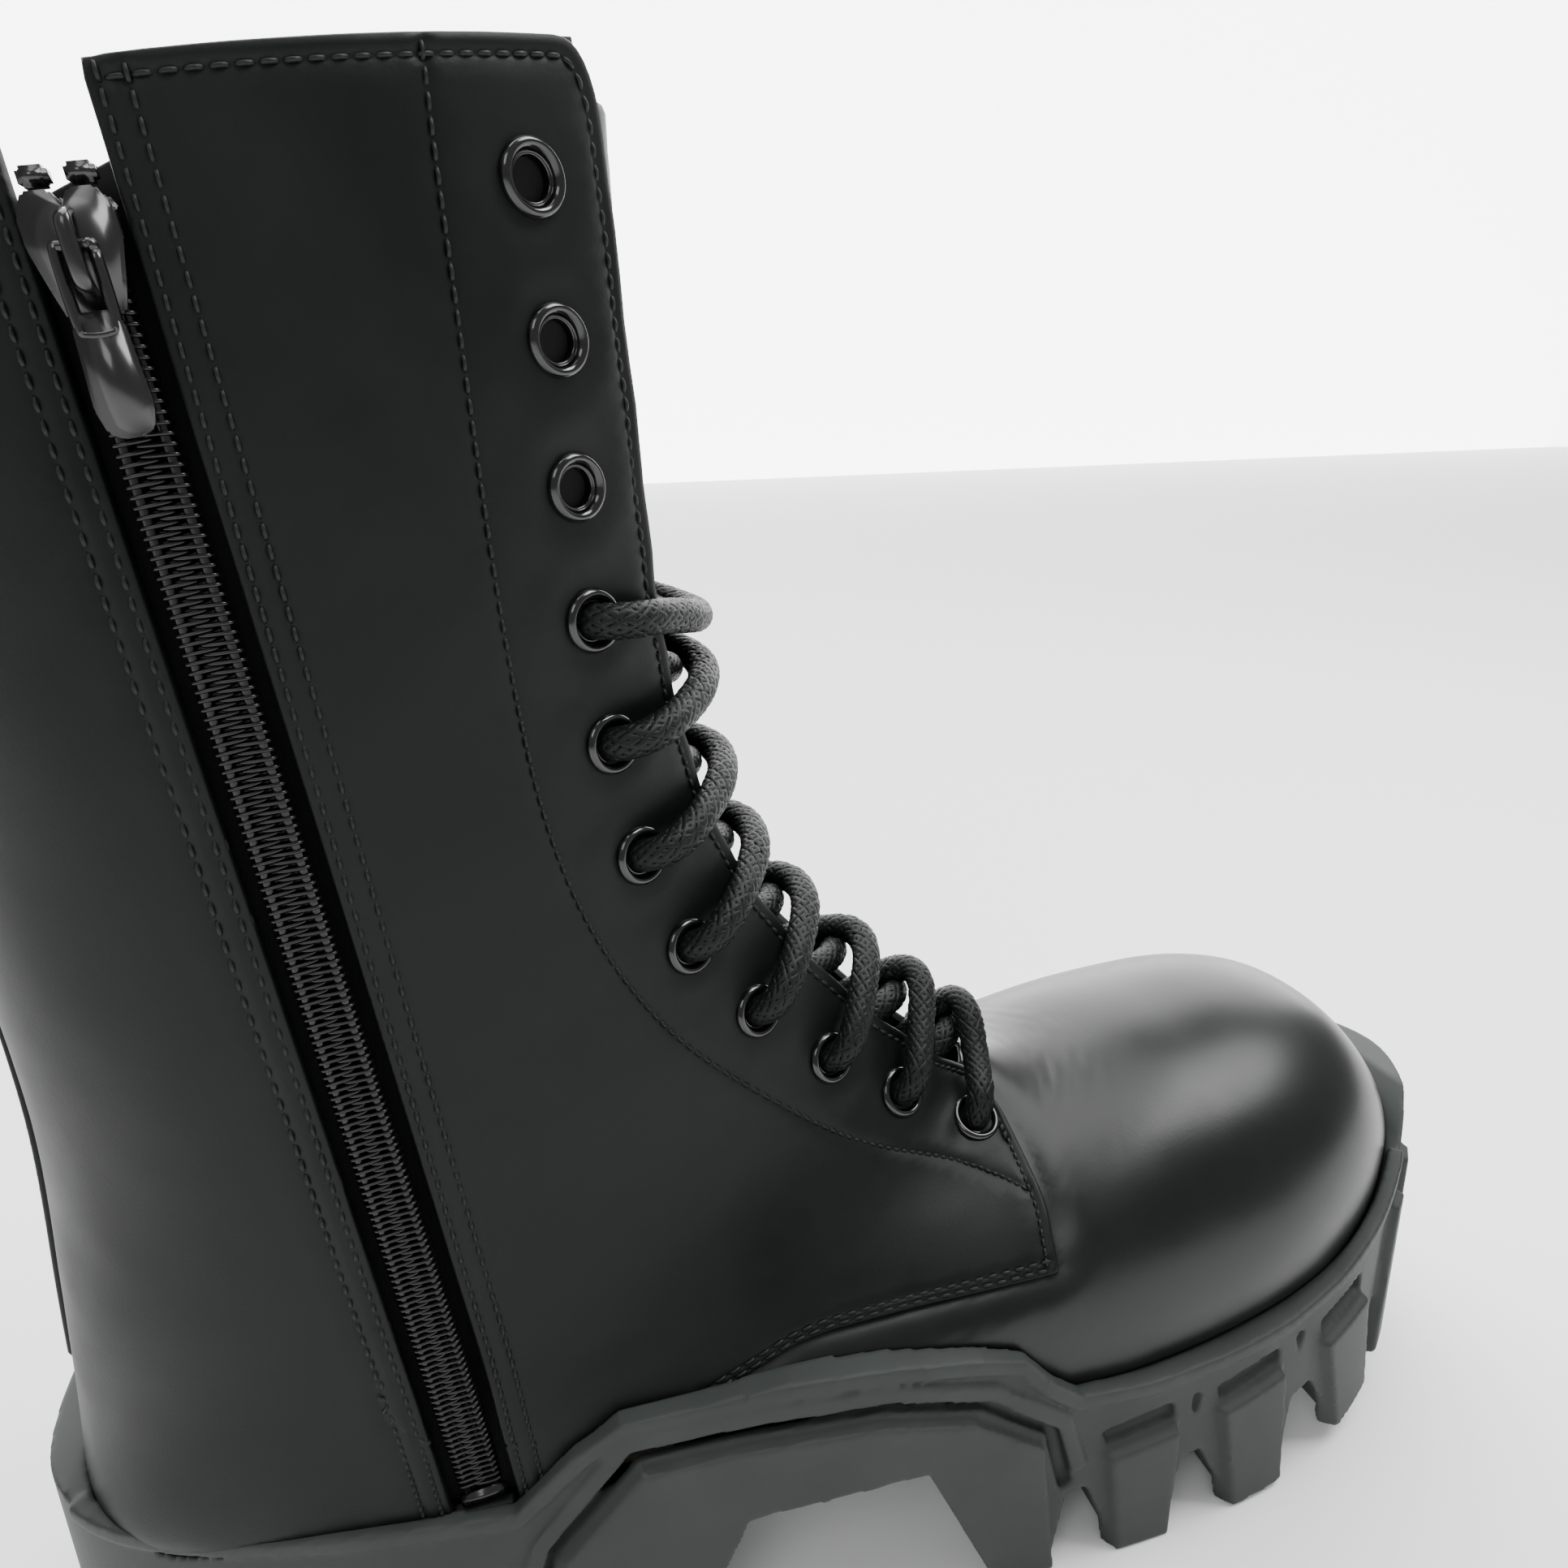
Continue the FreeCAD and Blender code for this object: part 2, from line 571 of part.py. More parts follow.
for side, word in ((MEDIAL, "medial"), (LATERAL, "lateral")):
    frames = [facing_out(point, normal) for point, normal in EYELETS[side]]
    group(f"eyelets_{word}", eyelet, frames)
    group(f"eyelet_washers_{word}", washer, frames)

# ---------------------------------------------------------------- side zip, in a frame that leans with it
lean_angle = math.degrees(math.atan2(ZIP_TOP[0] - ZIP_BOTTOM[0], ZIP_TOP[1] - ZIP_BOTTOM[1]))
zip_frame = Placement(at(ZIP_BOTTOM[0], -ZIP_DEPTH, ZIP_BOTTOM[1]), Rotation(Vector(0, 1, 0), lean_angle))


def zip_place(x=0.0, y=0.0, z=0.0):
    """Placement in the zip's frame: Z up the chain, -Y out of the boot."""
    return zip_frame * Placement(Vector(x, y, z), Rotation())


half_row = "(dimensions.chain_width - dimensions.chain_gap) / 2"
row_centre = (dim("chain_width") + dim("chain_gap")) / 4
for name, sign in (("zip_coil_front", 1), ("zip_coil_rear", -1)):
    coil = new_body(name)
    extrude(coil, "Pad", box_sketch(coil, f"{name}_section", half_row, "dimensions.chain_thickness"),
            "dimensions.chain_length")
    keep(coil, zip_place(sign * row_centre))

tape_layer = shell(STIFFENER_IN, STIFFENER_IN + dim("tape_thickness")).common(tape_zone)
tape_layer = tape_layer.cut(zip_zone(dim("chain_gap"))).cut(seat(BOARD_TOP + GAP))

SLIDER_FOOT = dim("chain_length") - dim("slider_length") + 2.0
PLATE_OUT = -dim("chain_thickness") / 2 - 0.5
PLATE_IN = dim("chain_thickness") / 2 + 1.9
CLEAR = 0.4


def zip_bar(width, low_y, high_y):
    """Block that runs the length of the zip."""
    block = Part.makeBox(width, high_y - low_y, dim("chain_length") + 60, Vector(-width / 2, low_y, -30))
    block.Placement = zip_frame * block.Placement
    return block


chain_space = zip_bar(dim("chain_width") + 1.0, PLATE_OUT, dim("chain_thickness") / 2 + 2 * GAP)
slider_space = zip_bar(dim("slider_width") + 2 * CLEAR, PLATE_IN - CLEAR, PLATE_IN + dim("slider_plate") + CLEAR)
tape_layer = tape_layer.cut(chain_space).cut(slider_space)
node("zip_tape_front", tape_layer.common(zip_side(True)))
node("zip_tape_rear", tape_layer.common(zip_side(False)))
slider = new_body("zip_slider")
extrude(slider, "Pad", box_sketch(slider, "slider_front", "dimensions.slider_width", "dimensions.slider_length",
                                  "XZ_Plane", (0, dim("slider_length") / 2, -PLATE_OUT)), "dimensions.slider_plate")
extrude(slider, "Pad", box_sketch(slider, "slider_back", "dimensions.slider_width",
                                  "dimensions.slider_length - 3", "XZ_Plane",
                                  (0, dim("slider_length") / 2, -PLATE_IN)),
        "dimensions.slider_plate", reverse=True)
extrude(slider, "Pad", box_sketch(slider, "slider_web", "0.7", "5", "XZ_Plane",
                                  (0, dim("slider_length") / 2, -PLATE_OUT + 0.2)),
        f"{PLATE_IN - PLATE_OUT + 0.4}", reverse=True)
extrude(slider, "Pad", box_sketch(slider, "bail_foot", "2.4", "8", "XZ_Plane",
                                  (0, dim("slider_length") / 2, -PLATE_OUT + 1.0)), "2.6")
extrude(slider, "Pocket", box_sketch(slider, "bail_eye", "1.9", "4.6", "YZ_Plane",
                                     (PLATE_OUT - 2.15, dim("slider_length") / 2, 5)), "10")
keep(slider, zip_place(0, 0, SLIDER_FOOT))

pull = new_body("zip_pull")
pull_pin = (SLIDER_FOOT + dim("slider_length") / 2, PLATE_OUT - 2.15)
pull_drop = dim("pull_length") / 2 - 0.7
extrude(pull, "Pad", box_sketch(pull, "pull_plate", "dimensions.pull_width", "dimensions.pull_length",
                                "XZ_Plane", (0, -pull_drop, -0.6)), "1.2")
extrude(pull, "Pocket", box_sketch(pull, "pull_slot", "dimensions.pull_width - 3.6", "8", "XZ_Plane",
                                   (0, -4.7, -3)), "10", midplane=True)
extrude(pull, "Pad", circle_sketch(pull, "pull_pin", "0.7", "YZ_Plane"), "dimensions.pull_width - 2.0", midplane=True)
keep(pull, zip_place(0, pull_pin[1], pull_pin[0]))

stop = new_body("zip_stop")
extrude(stop, "Pad", box_sketch(stop, "stop_section", "3.6", "2.6"), "2.4")
group("zip_top_stops", stop, [zip_place(sign * 2.6, 0, dim("chain_length") + 2.6) for sign in (-1, 1)])
bottom_stop = new_body("zip_bottom_stop")
extrude(bottom_stop, "Pad", box_sketch(bottom_stop, "bottom_stop_section", "8.6", "2.6"), "2.6")
keep(bottom_stop, zip_place(0, 0, -2.8))
end_tab = outer_layer.common(zip_zone(dim("zip_opening") - 0.6)).common(slab(60, 110, 30, 46.5))
node("zip_end_tab", end_tab.cut(margin_opening))

# ---------------------------------------------------------------- shank
shank = new_body("steel_shank")
extrude(shank, "Pad", box_sketch(shank, "shank_plan", "dimensions.shank_length", "dimensions.shank_width"),
        "dimensions.shank_thickness")
shank_lean = math.degrees(math.atan2(41.1 - 38.2, 174.0 - 64.0))
keep(shank, Placement(at(119.0, 0, 40.4), Rotation(Vector(0, 1, 0), shank_lean)))

# ---------------------------------------------------------------- lace
LACE_RADIUS = dim("lace_diameter") / 2
OVER_LEATHER = 4.6
UNDER_LEATHER = 8.4


def lace_frame(side, index):
    """Eyelet's point, outward normal, direction up the lacing line and direction to the flap's edge."""
    point, normal = EYELETS[side][index]
    above = EYELETS[side][max(index - 1, 0)][0]
    below = EYELETS[side][min(index + 1, len(EYELETS[side]) - 1)][0]
    up = (above - below).normalize()
    edge = up.cross(normal).normalize()
    if edge.y * side > 0:
        edge = edge * -1
    return point, normal, up, edge


def middle_point(index, share, sideways, forward):
    """Point over the middle of the throat, between one pair of eyelets and the pair above it."""
    edges = []
    fronts = Vector()
    for side in (MEDIAL, LATERAL):
        for step in (0, 1):
            point, normal, up, edge = lace_frame(side, max(index - step, 0))
            weight = share if step else 1 - share
            edges.append((point + edge * 12.5) * weight)
            fronts = fronts + normal
    half_gap = abs((lace_frame(MEDIAL, index)[0] + lace_frame(MEDIAL, index)[3] * 12.5).y)
    base = (edges[0] + edges[1] + edges[2] + edges[3]) * 0.5
    front = Vector(fronts.x, 0, fronts.z).normalize()
    return base + front * forward + Vector(0, sideways * half_gap, 0)


def strand(index, side, forward):
    """Route from outside one eyelet, over the gap and under the other flap to the next eyelet up."""
    point, normal, up, edge = lace_frame(side, index)
    other, other_normal, other_up, other_edge = lace_frame(-side, index - 1)
    return [
        point + normal * OVER_LEATHER,
        point + normal * 4.4 + edge * 12.0 + up * 1.0,
        middle_point(index, 0.20, side * 0.25, forward),
        middle_point(index, 0.36, -side * 0.45, forward - 2.5),
        other - other_normal * 8.0 + other_edge * 8.5 - other_up * 8.0,
        other - other_normal * UNDER_LEATHER,
    ]


BOTTOM = len(EYELET_PLACES) - 1
TOP = len(EYELET_PLACES) - int(dim("laced_count"))
FORWARD = {MEDIAL: 12.0, LATERAL: 5.3}


def tucked_end(side):
    """Route of an end: over the top pair of laced eyelets, then up behind the other flap."""
    point, normal, up, edge = lace_frame(side, TOP)
    route = [
        point + normal * OVER_LEATHER,
        point + normal * 4.4 + edge * 12.0 - up * 1.0,
        middle_point(TOP + 1, 0.72, side * 0.25, FORWARD[side]),
        middle_point(TOP + 1, 0.78, -side * 0.45, FORWARD[side] - 2.5),
    ]
    for index, rise in ((TOP, 2.0), (TOP - 1, 0.0), (TOP - 2, 0.0)):
        other, other_normal, other_up, other_edge = lace_frame(-side, index)
        route.append(other - other_normal * (8.3 - 0.3 * (TOP - index)) + other_edge * (6.5 + TOP - index)
                     + other_up * rise)
    return route


def lace_route():
    """The whole lace: one end, down the zigzag, across the bottom and back up to the other end."""
    first = tucked_end(MEDIAL)[::-1]
    side = MEDIAL
    for index in range(TOP + 1, BOTTOM + 1):
        side = -side
        first += strand(index, side, FORWARD[side])[::-1]
    last_point, last_normal = lace_frame(side, BOTTOM)[:2]
    first.append(last_point - last_normal * UNDER_LEATHER)
    side = -side
    point, normal = lace_frame(side, BOTTOM)[:2]
    first.append(point - normal * UNDER_LEATHER)
    for index in range(BOTTOM, TOP, -1):
        first += strand(index, side, FORWARD[side])
        side = -side
    return first + tucked_end(side)


def rounded_path(points):
    """Straight runs joined by arcs as large as the runs allow."""
    edges = []
    radii = []
    start = points[0]
    for before, corner, after in zip(points, points[1:], points[2:]):
        arriving, leaving = corner - before, after - corner
        shorter = min(arriving.Length, leaving.Length)
        turn = arriving.getAngle(leaving)
        cut = 0.45 * shorter
        radii.append(cut / math.tan(turn / 2))
        first = corner - Vector(arriving).normalize() * cut
        last = corner + Vector(leaving).normalize() * cut
        bisector = (Vector(leaving).normalize() - Vector(arriving).normalize()).normalize()
        top = corner + bisector * (radii[-1] / math.cos(turn / 2) - radii[-1])
        edges.append(Part.makeLine(start, first))
        edges.append(Part.Arc(first, top, last).toShape())
        start = last
    edges.append(Part.makeLine(start, points[-1]))
    return Part.Wire(edges), radii


route = lace_route()
path, radii = rounded_path(route)
print("lace points", len(route), "length", round(path.Length, 1), "radii", [round(r, 1) for r in sorted(radii)[:12]])
ring = Part.Wire(Part.makeCircle(LACE_RADIUS, route[0], route[1] - route[0]))
lace_shape = path.makePipeShell([ring], True, True)
print("lace volume", round(lace_shape.Volume), "section times length", round(math.pi * LACE_RADIUS ** 2 * path.Length))
item = doc.addObject("Part::Feature", "lace")
item.Shape = lace_shape
item.Label = "lace"
NODES.append(item)
aglet = new_body("aglet")
extrude(aglet, "Pad", circle_sketch(aglet, "aglet_section", "dimensions.lace_diameter / 2 - 0.7"), "20")
ends = []
for tip, inner in ((route[0], route[1]), (route[-1], route[-2])):
    ends.append(Placement(tip, Rotation(Vector(0, 0, 1), tip - inner)))
group("lace_aglets", aglet, ends)

# ---------------------------------------------------------------- check and write
doc.recompute()
failed = [item.Label for item in doc.Objects if "Invalid" in item.State or "Error" in item.State]
bad = [item.Label for item in NODES if item.Shape.isNull() or not item.Shape.isValid()]
if failed or bad:
    raise RuntimeError(f"failed {failed}, not valid {bad}")
for item in NODES:
    low, high = item.Shape.optimalBoundingBox().getPoint(0), item.Shape.optimalBoundingBox().getPoint(6)
    print(f"{item.Label:22s} {len(item.Shape.Solids)} {item.Shape.Volume:10.0f}",
          [round(value, 1) for value in (*low, *high)])
os.makedirs("parts", exist_ok=True)
for item in NODES:
    item.Shape.exportStep(f"parts/{item.Label}.step")
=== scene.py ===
"""Left lace-up leather boot with a medial side zip and a lugged rubber sole: its look, on the CAD frame.

Sizes are millimetres until a mesh is made.  Stations run from the back of the sole, as in the CAD source.
"""
import math
import bmesh
import bpy
import numpy as np
from mathutils import Matrix, Vector, geometry, kdtree, noise


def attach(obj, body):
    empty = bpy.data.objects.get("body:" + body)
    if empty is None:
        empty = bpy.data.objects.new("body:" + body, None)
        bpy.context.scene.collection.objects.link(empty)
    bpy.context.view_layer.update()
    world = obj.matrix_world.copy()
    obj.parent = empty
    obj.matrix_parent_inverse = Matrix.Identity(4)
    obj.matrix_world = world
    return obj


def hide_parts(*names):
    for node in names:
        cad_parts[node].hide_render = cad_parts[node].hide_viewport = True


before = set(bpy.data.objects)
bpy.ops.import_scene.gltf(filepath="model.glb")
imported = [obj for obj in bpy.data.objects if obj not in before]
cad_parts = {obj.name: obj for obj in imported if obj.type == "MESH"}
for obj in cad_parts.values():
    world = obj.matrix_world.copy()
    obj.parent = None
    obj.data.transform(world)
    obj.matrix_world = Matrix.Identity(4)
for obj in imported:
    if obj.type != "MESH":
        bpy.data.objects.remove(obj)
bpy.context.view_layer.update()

MM = 0.001
MIDDLE = 160.0
MEDIAL, LATERAL = -1, 1

# ---------------------------------------------------------------- camera
camera_data = bpy.data.cameras.new("camera")
camera_data.lens = 25.43
camera_data.sensor_width = 36.0
camera = bpy.data.objects.new("camera", camera_data)
bpy.context.scene.collection.objects.link(camera)
camera.matrix_world = Matrix((
    (0.9615, 0.1088, -0.2522, -0.06155),
    (-0.2734, 0.2889, -0.9175, -0.2098),
    (-0.0270, 0.9511, 0.3076, 0.23371),
    (0.0, 0.0, 0.0, 1.0),
))
bpy.context.scene.camera = camera

# ---------------------------------------------------------------- the form of the upper
# Front x, front z, back x, back z, half width, roundness of the front and of the back, widest place
SECTIONS = np.array([
    (141.5, 292.0, 12.0, 267.0, 46.0, 1.55, 2.2, 0.60),
    (141.5, 247.0, 11.0, 228.0, 46.0, 1.55, 2.2, 0.60),
    (142.0, 207.0, 11.0, 190.0, 46.0, 1.50, 2.2, 0.60),
    (144.0, 184.0, 12.0, 154.0, 46.0, 1.50, 2.2, 0.60),
    (149.0, 164.0, 13.0, 120.0, 46.0, 1.50, 2.2, 0.60),
    (158.0, 146.0, 11.0, 88.0, 46.0, 1.50, 2.3, 0.61),
    (169.5, 129.0, 10.0, 60.0, 46.0, 1.50, 2.8, 0.63),
    (183.0, 111.5, 22.0, 43.0, 46.0, 1.50, 4.5, 0.68),
    (197.5, 95.5, 75.0, 41.0, 48.0, 1.55, 6.0, 0.72),
    (212.0, 91.5, 130.0, 40.0, 50.0, 1.75, 6.0, 0.74),
    (228.0, 95.0, 178.0, 38.0, 52.0, 2.05, 6.0, 0.76),
    (246.0, 98.5, 218.0, 38.0, 52.0, 2.10, 6.0, 0.76),
    (265.0, 100.0, 252.0, 41.0, 49.0, 2.15, 5.0, 0.76),
    (283.0, 97.0, 277.0, 45.0, 41.5, 2.20, 4.5, 0.76),
    (297.0, 86.5, 294.0, 50.0, 30.0, 2.20, 4.0, 0.72),
    (306.0, 72.5, 304.0, 55.0, 17.0, 2.20, 3.5, 0.65),
    (309.5, 62.5, 309.0, 59.0, 6.0, 2.00, 2.0, 0.50),
])
TIP_DEPTH = 1.5
# Rows of a form's lookup tables for each section
TABLE_ROWS = 12


def inset_rows(inset):
    """The sections moved inwards by inset, one number or one per section."""
    depths = np.full(len(SECTIONS), inset) if np.isscalar(inset) else np.array(inset, float)
    rows = SECTIONS.copy()
    for column, other in ((0, 2), (2, 0)):
        line = SECTIONS[:, column:column + 2]
        run = np.vstack([line[1] - line[0], line[2:] - line[:-2], line[-1] - line[-2]])
        normal = np.stack([-run[:, 1], run[:, 0]], 1) / np.linalg.norm(run, axis=1)[:, None]
        facing = np.sum(normal * (SECTIONS[:, other:other + 2] - line), axis=1)
        normal *= np.sign(facing)[:, None]
        rows[:, column:column + 2] += normal * depths[:, None]
    rows[:, 4] = np.maximum(rows[:, 4] - depths, 1.0)
    return rows[:-1] if depths.max() > TIP_DEPTH else rows


def natural_spline(values):
    """Second derivatives of the natural cubic spline through values one step apart."""
    count = len(values)
    matrix = np.eye(count)
    right = np.zeros_like(values)
    for index in range(1, count - 1):
        matrix[index, index - 1:index + 2] = (1.0, 4.0, 1.0)
        right[index] = 6 * (values[index - 1] - 2 * values[index] + values[index + 1])
    return np.linalg.solve(matrix, right)


class Form:
    """A closed smooth surface: s runs over the sections, f round each from its front line to its back."""

    def __init__(self, inset=0.0):
        self.rows = inset_rows(inset)
        self.bend = natural_spline(self.rows)
        self.last = len(self.rows) - 1
        self.s = np.linspace(0, self.last, self.last * TABLE_ROWS + 1)
        middle = np.arccos(np.linspace(0, 1, 91) ** 3) / np.pi
        turns = np.unique(np.concatenate([(1 - np.cos(np.linspace(0, np.pi, 181))) / 2, middle, 1 - middle]))
        table = self.raw(self.s[:, None], turns[None, :])
        steps = np.linalg.norm(np.diff(table, axis=1), axis=2)
        length = np.concatenate([np.zeros((len(self.s), 1)), np.cumsum(steps, axis=1)], axis=1)
        self.girth = length[:, -1]
        self.shares = np.linspace(0, 1, 241)
        self.turn_of = np.array([np.interp(self.shares, row / row[-1], turns) for row in length])
        self.share_turns = turns
        self.share_of = length / self.girth[:, None]
        front = np.linalg.norm(np.diff(table[:, 0], axis=0), axis=1)
        back = np.linalg.norm(np.diff(table[:, -1], axis=0), axis=1)
        self.v = np.concatenate([[0.0], np.cumsum((front + back) / 2)])

    def row(self, s):
        """Section values at fractional positions."""
        s = np.clip(s, 0, self.last)
        index = np.minimum(s.astype(int), self.last - 1)
        step = (s - index)[..., None]
        left, right = self.rows[index], self.rows[index + 1]
        lift = (2 - step) * self.bend[index] + (1 + step) * self.bend[index + 1]
        return left * (1 - step) + right * step - step * (1 - step) * lift / 6

    def raw(self, s, turn):
        """Point at a section position and a turn from 0 at the front line to 1 at the back line."""
        s, turn = np.broadcast_arrays(np.asarray(s, float), np.asarray(turn, float))
        row = self.row(s)
        cosine, sine = np.cos(turn * np.pi), np.abs(np.sin(turn * np.pi))
        power = 2 / np.where(cosine > 0, row[..., 5], row[..., 6])
        reach = np.sign(cosine) * np.abs(cosine) ** power
        widest = row[..., 7]
        share = np.where(cosine > 0, widest * (1 - reach), widest - (1 - widest) * reach)
        x = row[..., 0] + share * (row[..., 2] - row[..., 0]) - MIDDLE
        z = row[..., 1] + share * (row[..., 3] - row[..., 1])
        return np.stack([x, row[..., 4] * sine ** power, z], -1)

    def point(self, s, f):
        """Point at a section position and a signed share of the way round; shares over 1 wrap."""
        s, f = np.broadcast_arrays(np.asarray(s, float), np.asarray(f, float))
        side = np.where(f < 0, -1.0, 1.0)
        share = np.abs(f)
        side = np.where(share > 1, -side, side)
        share = np.where(share > 1, 2 - share, share)
        a = np.clip(s, 0, self.last) * TABLE_ROWS
        b = share * (len(self.shares) - 1)
        i = np.clip(a.astype(int), 0, len(self.s) - 2)
        j = np.clip(b.astype(int), 0, len(self.shares) - 2)
        p, q = a - i, b - j
        turn = (self.turn_of[i, j] * (1 - p) * (1 - q) + self.turn_of[i + 1, j] * p * (1 - q)
                + self.turn_of[i, j + 1] * (1 - p) * q + self.turn_of[i + 1, j + 1] * p * q)
        place = self.raw(s, turn)
        place[..., 1] *= side
        return place

    def normal(self, s, f):
        """Outward unit normal."""
        along = self.point(s, f + 0.004) - self.point(s, f - 0.004)
        down = self.point(s + 0.03, f) - self.point(s - 0.03, f)
        normal = np.cross(along, down)
        normal /= np.maximum(np.linalg.norm(normal, axis=-1, keepdims=True), 1e-9)
        row = self.row(np.asarray(s, float))
        middle = np.stack([(row[..., 0] + row[..., 2]) / 2 - MIDDLE, 0 * row[..., 0],
                           (row[..., 1] + row[..., 3]) / 2], -1)
        outwards = np.sum(normal * (self.point(s, f) - middle), axis=-1, keepdims=True)
        return normal * np.where(outwards < 0, -1.0, 1.0)

    def flat(self, s, f):
        """Place on the flattened surface, nearly true to size."""
        return np.stack([f * np.interp(s, self.s, self.girth), np.interp(s, self.s, self.v)], -1)

    def unflat(self, uv):
        """Section position and share of a place on the flattened surface."""
        s = np.interp(uv[..., 1], self.v, self.s)
        return s, uv[..., 0] / np.interp(s, self.s, self.girth)

    def seen_at(self, x, z, side):
        """Section position and share of the surface point seen at x, z from the side."""
        x, z = np.asarray(x, float), np.asarray(z, float)
        low, high = np.zeros_like(x), np.full_like(x, self.last)
        for _ in range(40):
            guess = (low + high) / 2
            row = self.row(guess)
            cross = ((row[..., 2] - row[..., 0]) * (z - row[..., 1])
                     - (row[..., 3] - row[..., 1]) * (x - row[..., 0]))
            high = np.where(cross < 0, guess, high)
            low = np.where(cross < 0, low, guess)
        row = self.row(guess)
        span = np.hypot(row[..., 2] - row[..., 0], row[..., 3] - row[..., 1])
        share = np.clip(np.hypot(x - row[..., 0], z - row[..., 1]) / span, 0, 1)
        ahead = share < row[..., 7]
        reach = np.where(ahead, 1 - share / row[..., 7], (share - row[..., 7]) / (1 - row[..., 7]))
        cosine = np.clip(reach, 0, 1) ** (np.where(ahead, row[..., 5], row[..., 6]) / 2)
        turn = np.arccos(np.where(ahead, cosine, -cosine)) / np.pi
        index = np.clip(np.rint(guess * TABLE_ROWS).astype(int), 0, len(self.s) - 1)
        f = np.array([np.interp(t, self.share_turns, self.share_of[i]) for t, i in zip(turn, index)])
        return guess, side * f

    def line(self, points, side):
        """Flat polyline of a line of side-view points."""
        points = np.array(points, float)
        return self.flat(*self.seen_at(points[:, 0], points[:, 1], side))


# ---------------------------------------------------------------- flat geometry
def dense(points, step=1.2, closed=False):
    """Polyline with extra points so that no run is longer than step."""
    points = np.asarray(points, float)
    ends = np.vstack([points[1:], points[:1]]) if closed else points[1:]
    starts = points if closed else points[:-1]
    made = []
    for first, last in zip(starts, ends):
        count = max(int(np.ceil(np.linalg.norm(last - first) / step)), 1)
        made.append(first + (last - first) * (np.arange(count) / count)[:, None])
    if not closed:
        made.append(points[-1:])
    return np.vstack(made)


def smooth(points, per_run=8):
    """Catmull-Rom line through the points."""
    points = np.asarray(points, float)
    wide = np.vstack([2 * points[0] - points[1], points, 2 * points[-1] - points[-2]])
    made = []
    for a, b, c, d in zip(wide, wide[1:], wide[2:], wide[3:]):
        t = (np.arange(per_run) / per_run)[:, None]
        made.append(0.5 * (2 * b + (c - a) * t + (2 * a - 5 * b + 4 * c - d) * t ** 2
                           + (3 * b - a - 3 * c + d) * t ** 3))
    return np.vstack(made + [points[-1:]])


def distance(places, line, closed=False):
    """Distance from each place to a polyline."""
    line = np.asarray(line, float)
    starts = line if closed else line[:-1]
    ends = np.vstack([line[1:], line[:1]]) if closed else line[1:]
    run = ends - starts
    size = np.maximum(np.sum(run * run, axis=1), 1e-12)
    result = np.empty(len(places))
    for low in range(0, len(places), 2000):
        gap = places[low:low + 2000, None, :] - starts[None]
        share = np.clip(np.sum(gap * run[None], axis=2) / size[None], 0, 1)
        off = gap - share[..., None] * run[None]
        result[low:low + 2000] = np.sqrt(np.min(np.sum(off * off, axis=2), axis=1))
    return result


def inside(places, loop):
    """Which places lie within a closed loop."""
    loop = np.asarray(loop, float)
    after = np.vstack([loop[1:], loop[:1]])
    result = np.zeros(len(places), bool)
    for low in range(0, len(places), 2000):
        x = places[low:low + 2000, 0][:, None]
        y = places[low:low + 2000, 1][:, None]
        spans = (loop[None, :, 1] > y) != (after[None, :, 1] > y)
        rise = np.where(np.abs(after[:, 1] - loop[:, 1]) < 1e-12, 1e-12, after[:, 1] - loop[:, 1])
        cut = loop[None, :, 0] + (y - loop[None, :, 1]) / rise[None] * (after - loop)[None, :, 0]
        result[low:low + 2000] = np.sum(spans & (x < cut), axis=1) % 2 == 1
    return result


def offset(line, amount, closed=False):
    """Polyline moved sideways, to its left."""
    line = np.asarray(line, float)
    if closed:
        run = np.roll(line, -1, axis=0) - np.roll(line, 1, axis=0)
    else:
        run = np.vstack([line[1] - line[0], line[2:] - line[:-2], line[-1] - line[-2]])
    run /= np.maximum(np.linalg.norm(run, axis=1, keepdims=True), 1e-9)
    return line + np.stack([-run[:, 1], run[:, 0]], 1) * amount


def inset(line, amount, loop):
    """Row at a distance inside a loop's edge."""
    row = offset(line, amount)
    if np.mean(inside(row, loop)) < 0.5:
        row = offset(line, -amount)
    return row[inside(row, loop)]


def bend_corner(arriving, leaving, radius):
    """Two lines that meet in a corner, joined by a soft bend instead."""
    corner = leaving[0]
    first = arriving[np.linalg.norm(arriving - corner, axis=1) > radius]
    last = leaving[np.linalg.norm(leaving - corner, axis=1) > radius]
    t = np.linspace(0, 1, 9)[1:-1, None]
    bend = first[-1] * (1 - t) ** 2 + 2 * corner * t * (1 - t) + last[0] * t ** 2
    return np.vstack([first, bend, last])


def area(loop):
    """Signed area of a loop."""
    after = np.roll(loop, -1, axis=0)
    return np.sum(loop[:, 0] * after[:, 1] - after[:, 0] * loop[:, 1]) / 2


def along(line, pitch, start=0.0):
    """Places every pitch along a polyline."""
    line = np.asarray(line, float)
    steps = np.linalg.norm(np.diff(line, axis=0), axis=1)
    travelled = np.concatenate([[0.0], np.cumsum(steps)])
    marks = np.arange(start, travelled[-1], pitch)
    return np.stack([np.interp(marks, travelled, line[:, axis]) for axis in range(line.shape[1])], 1)


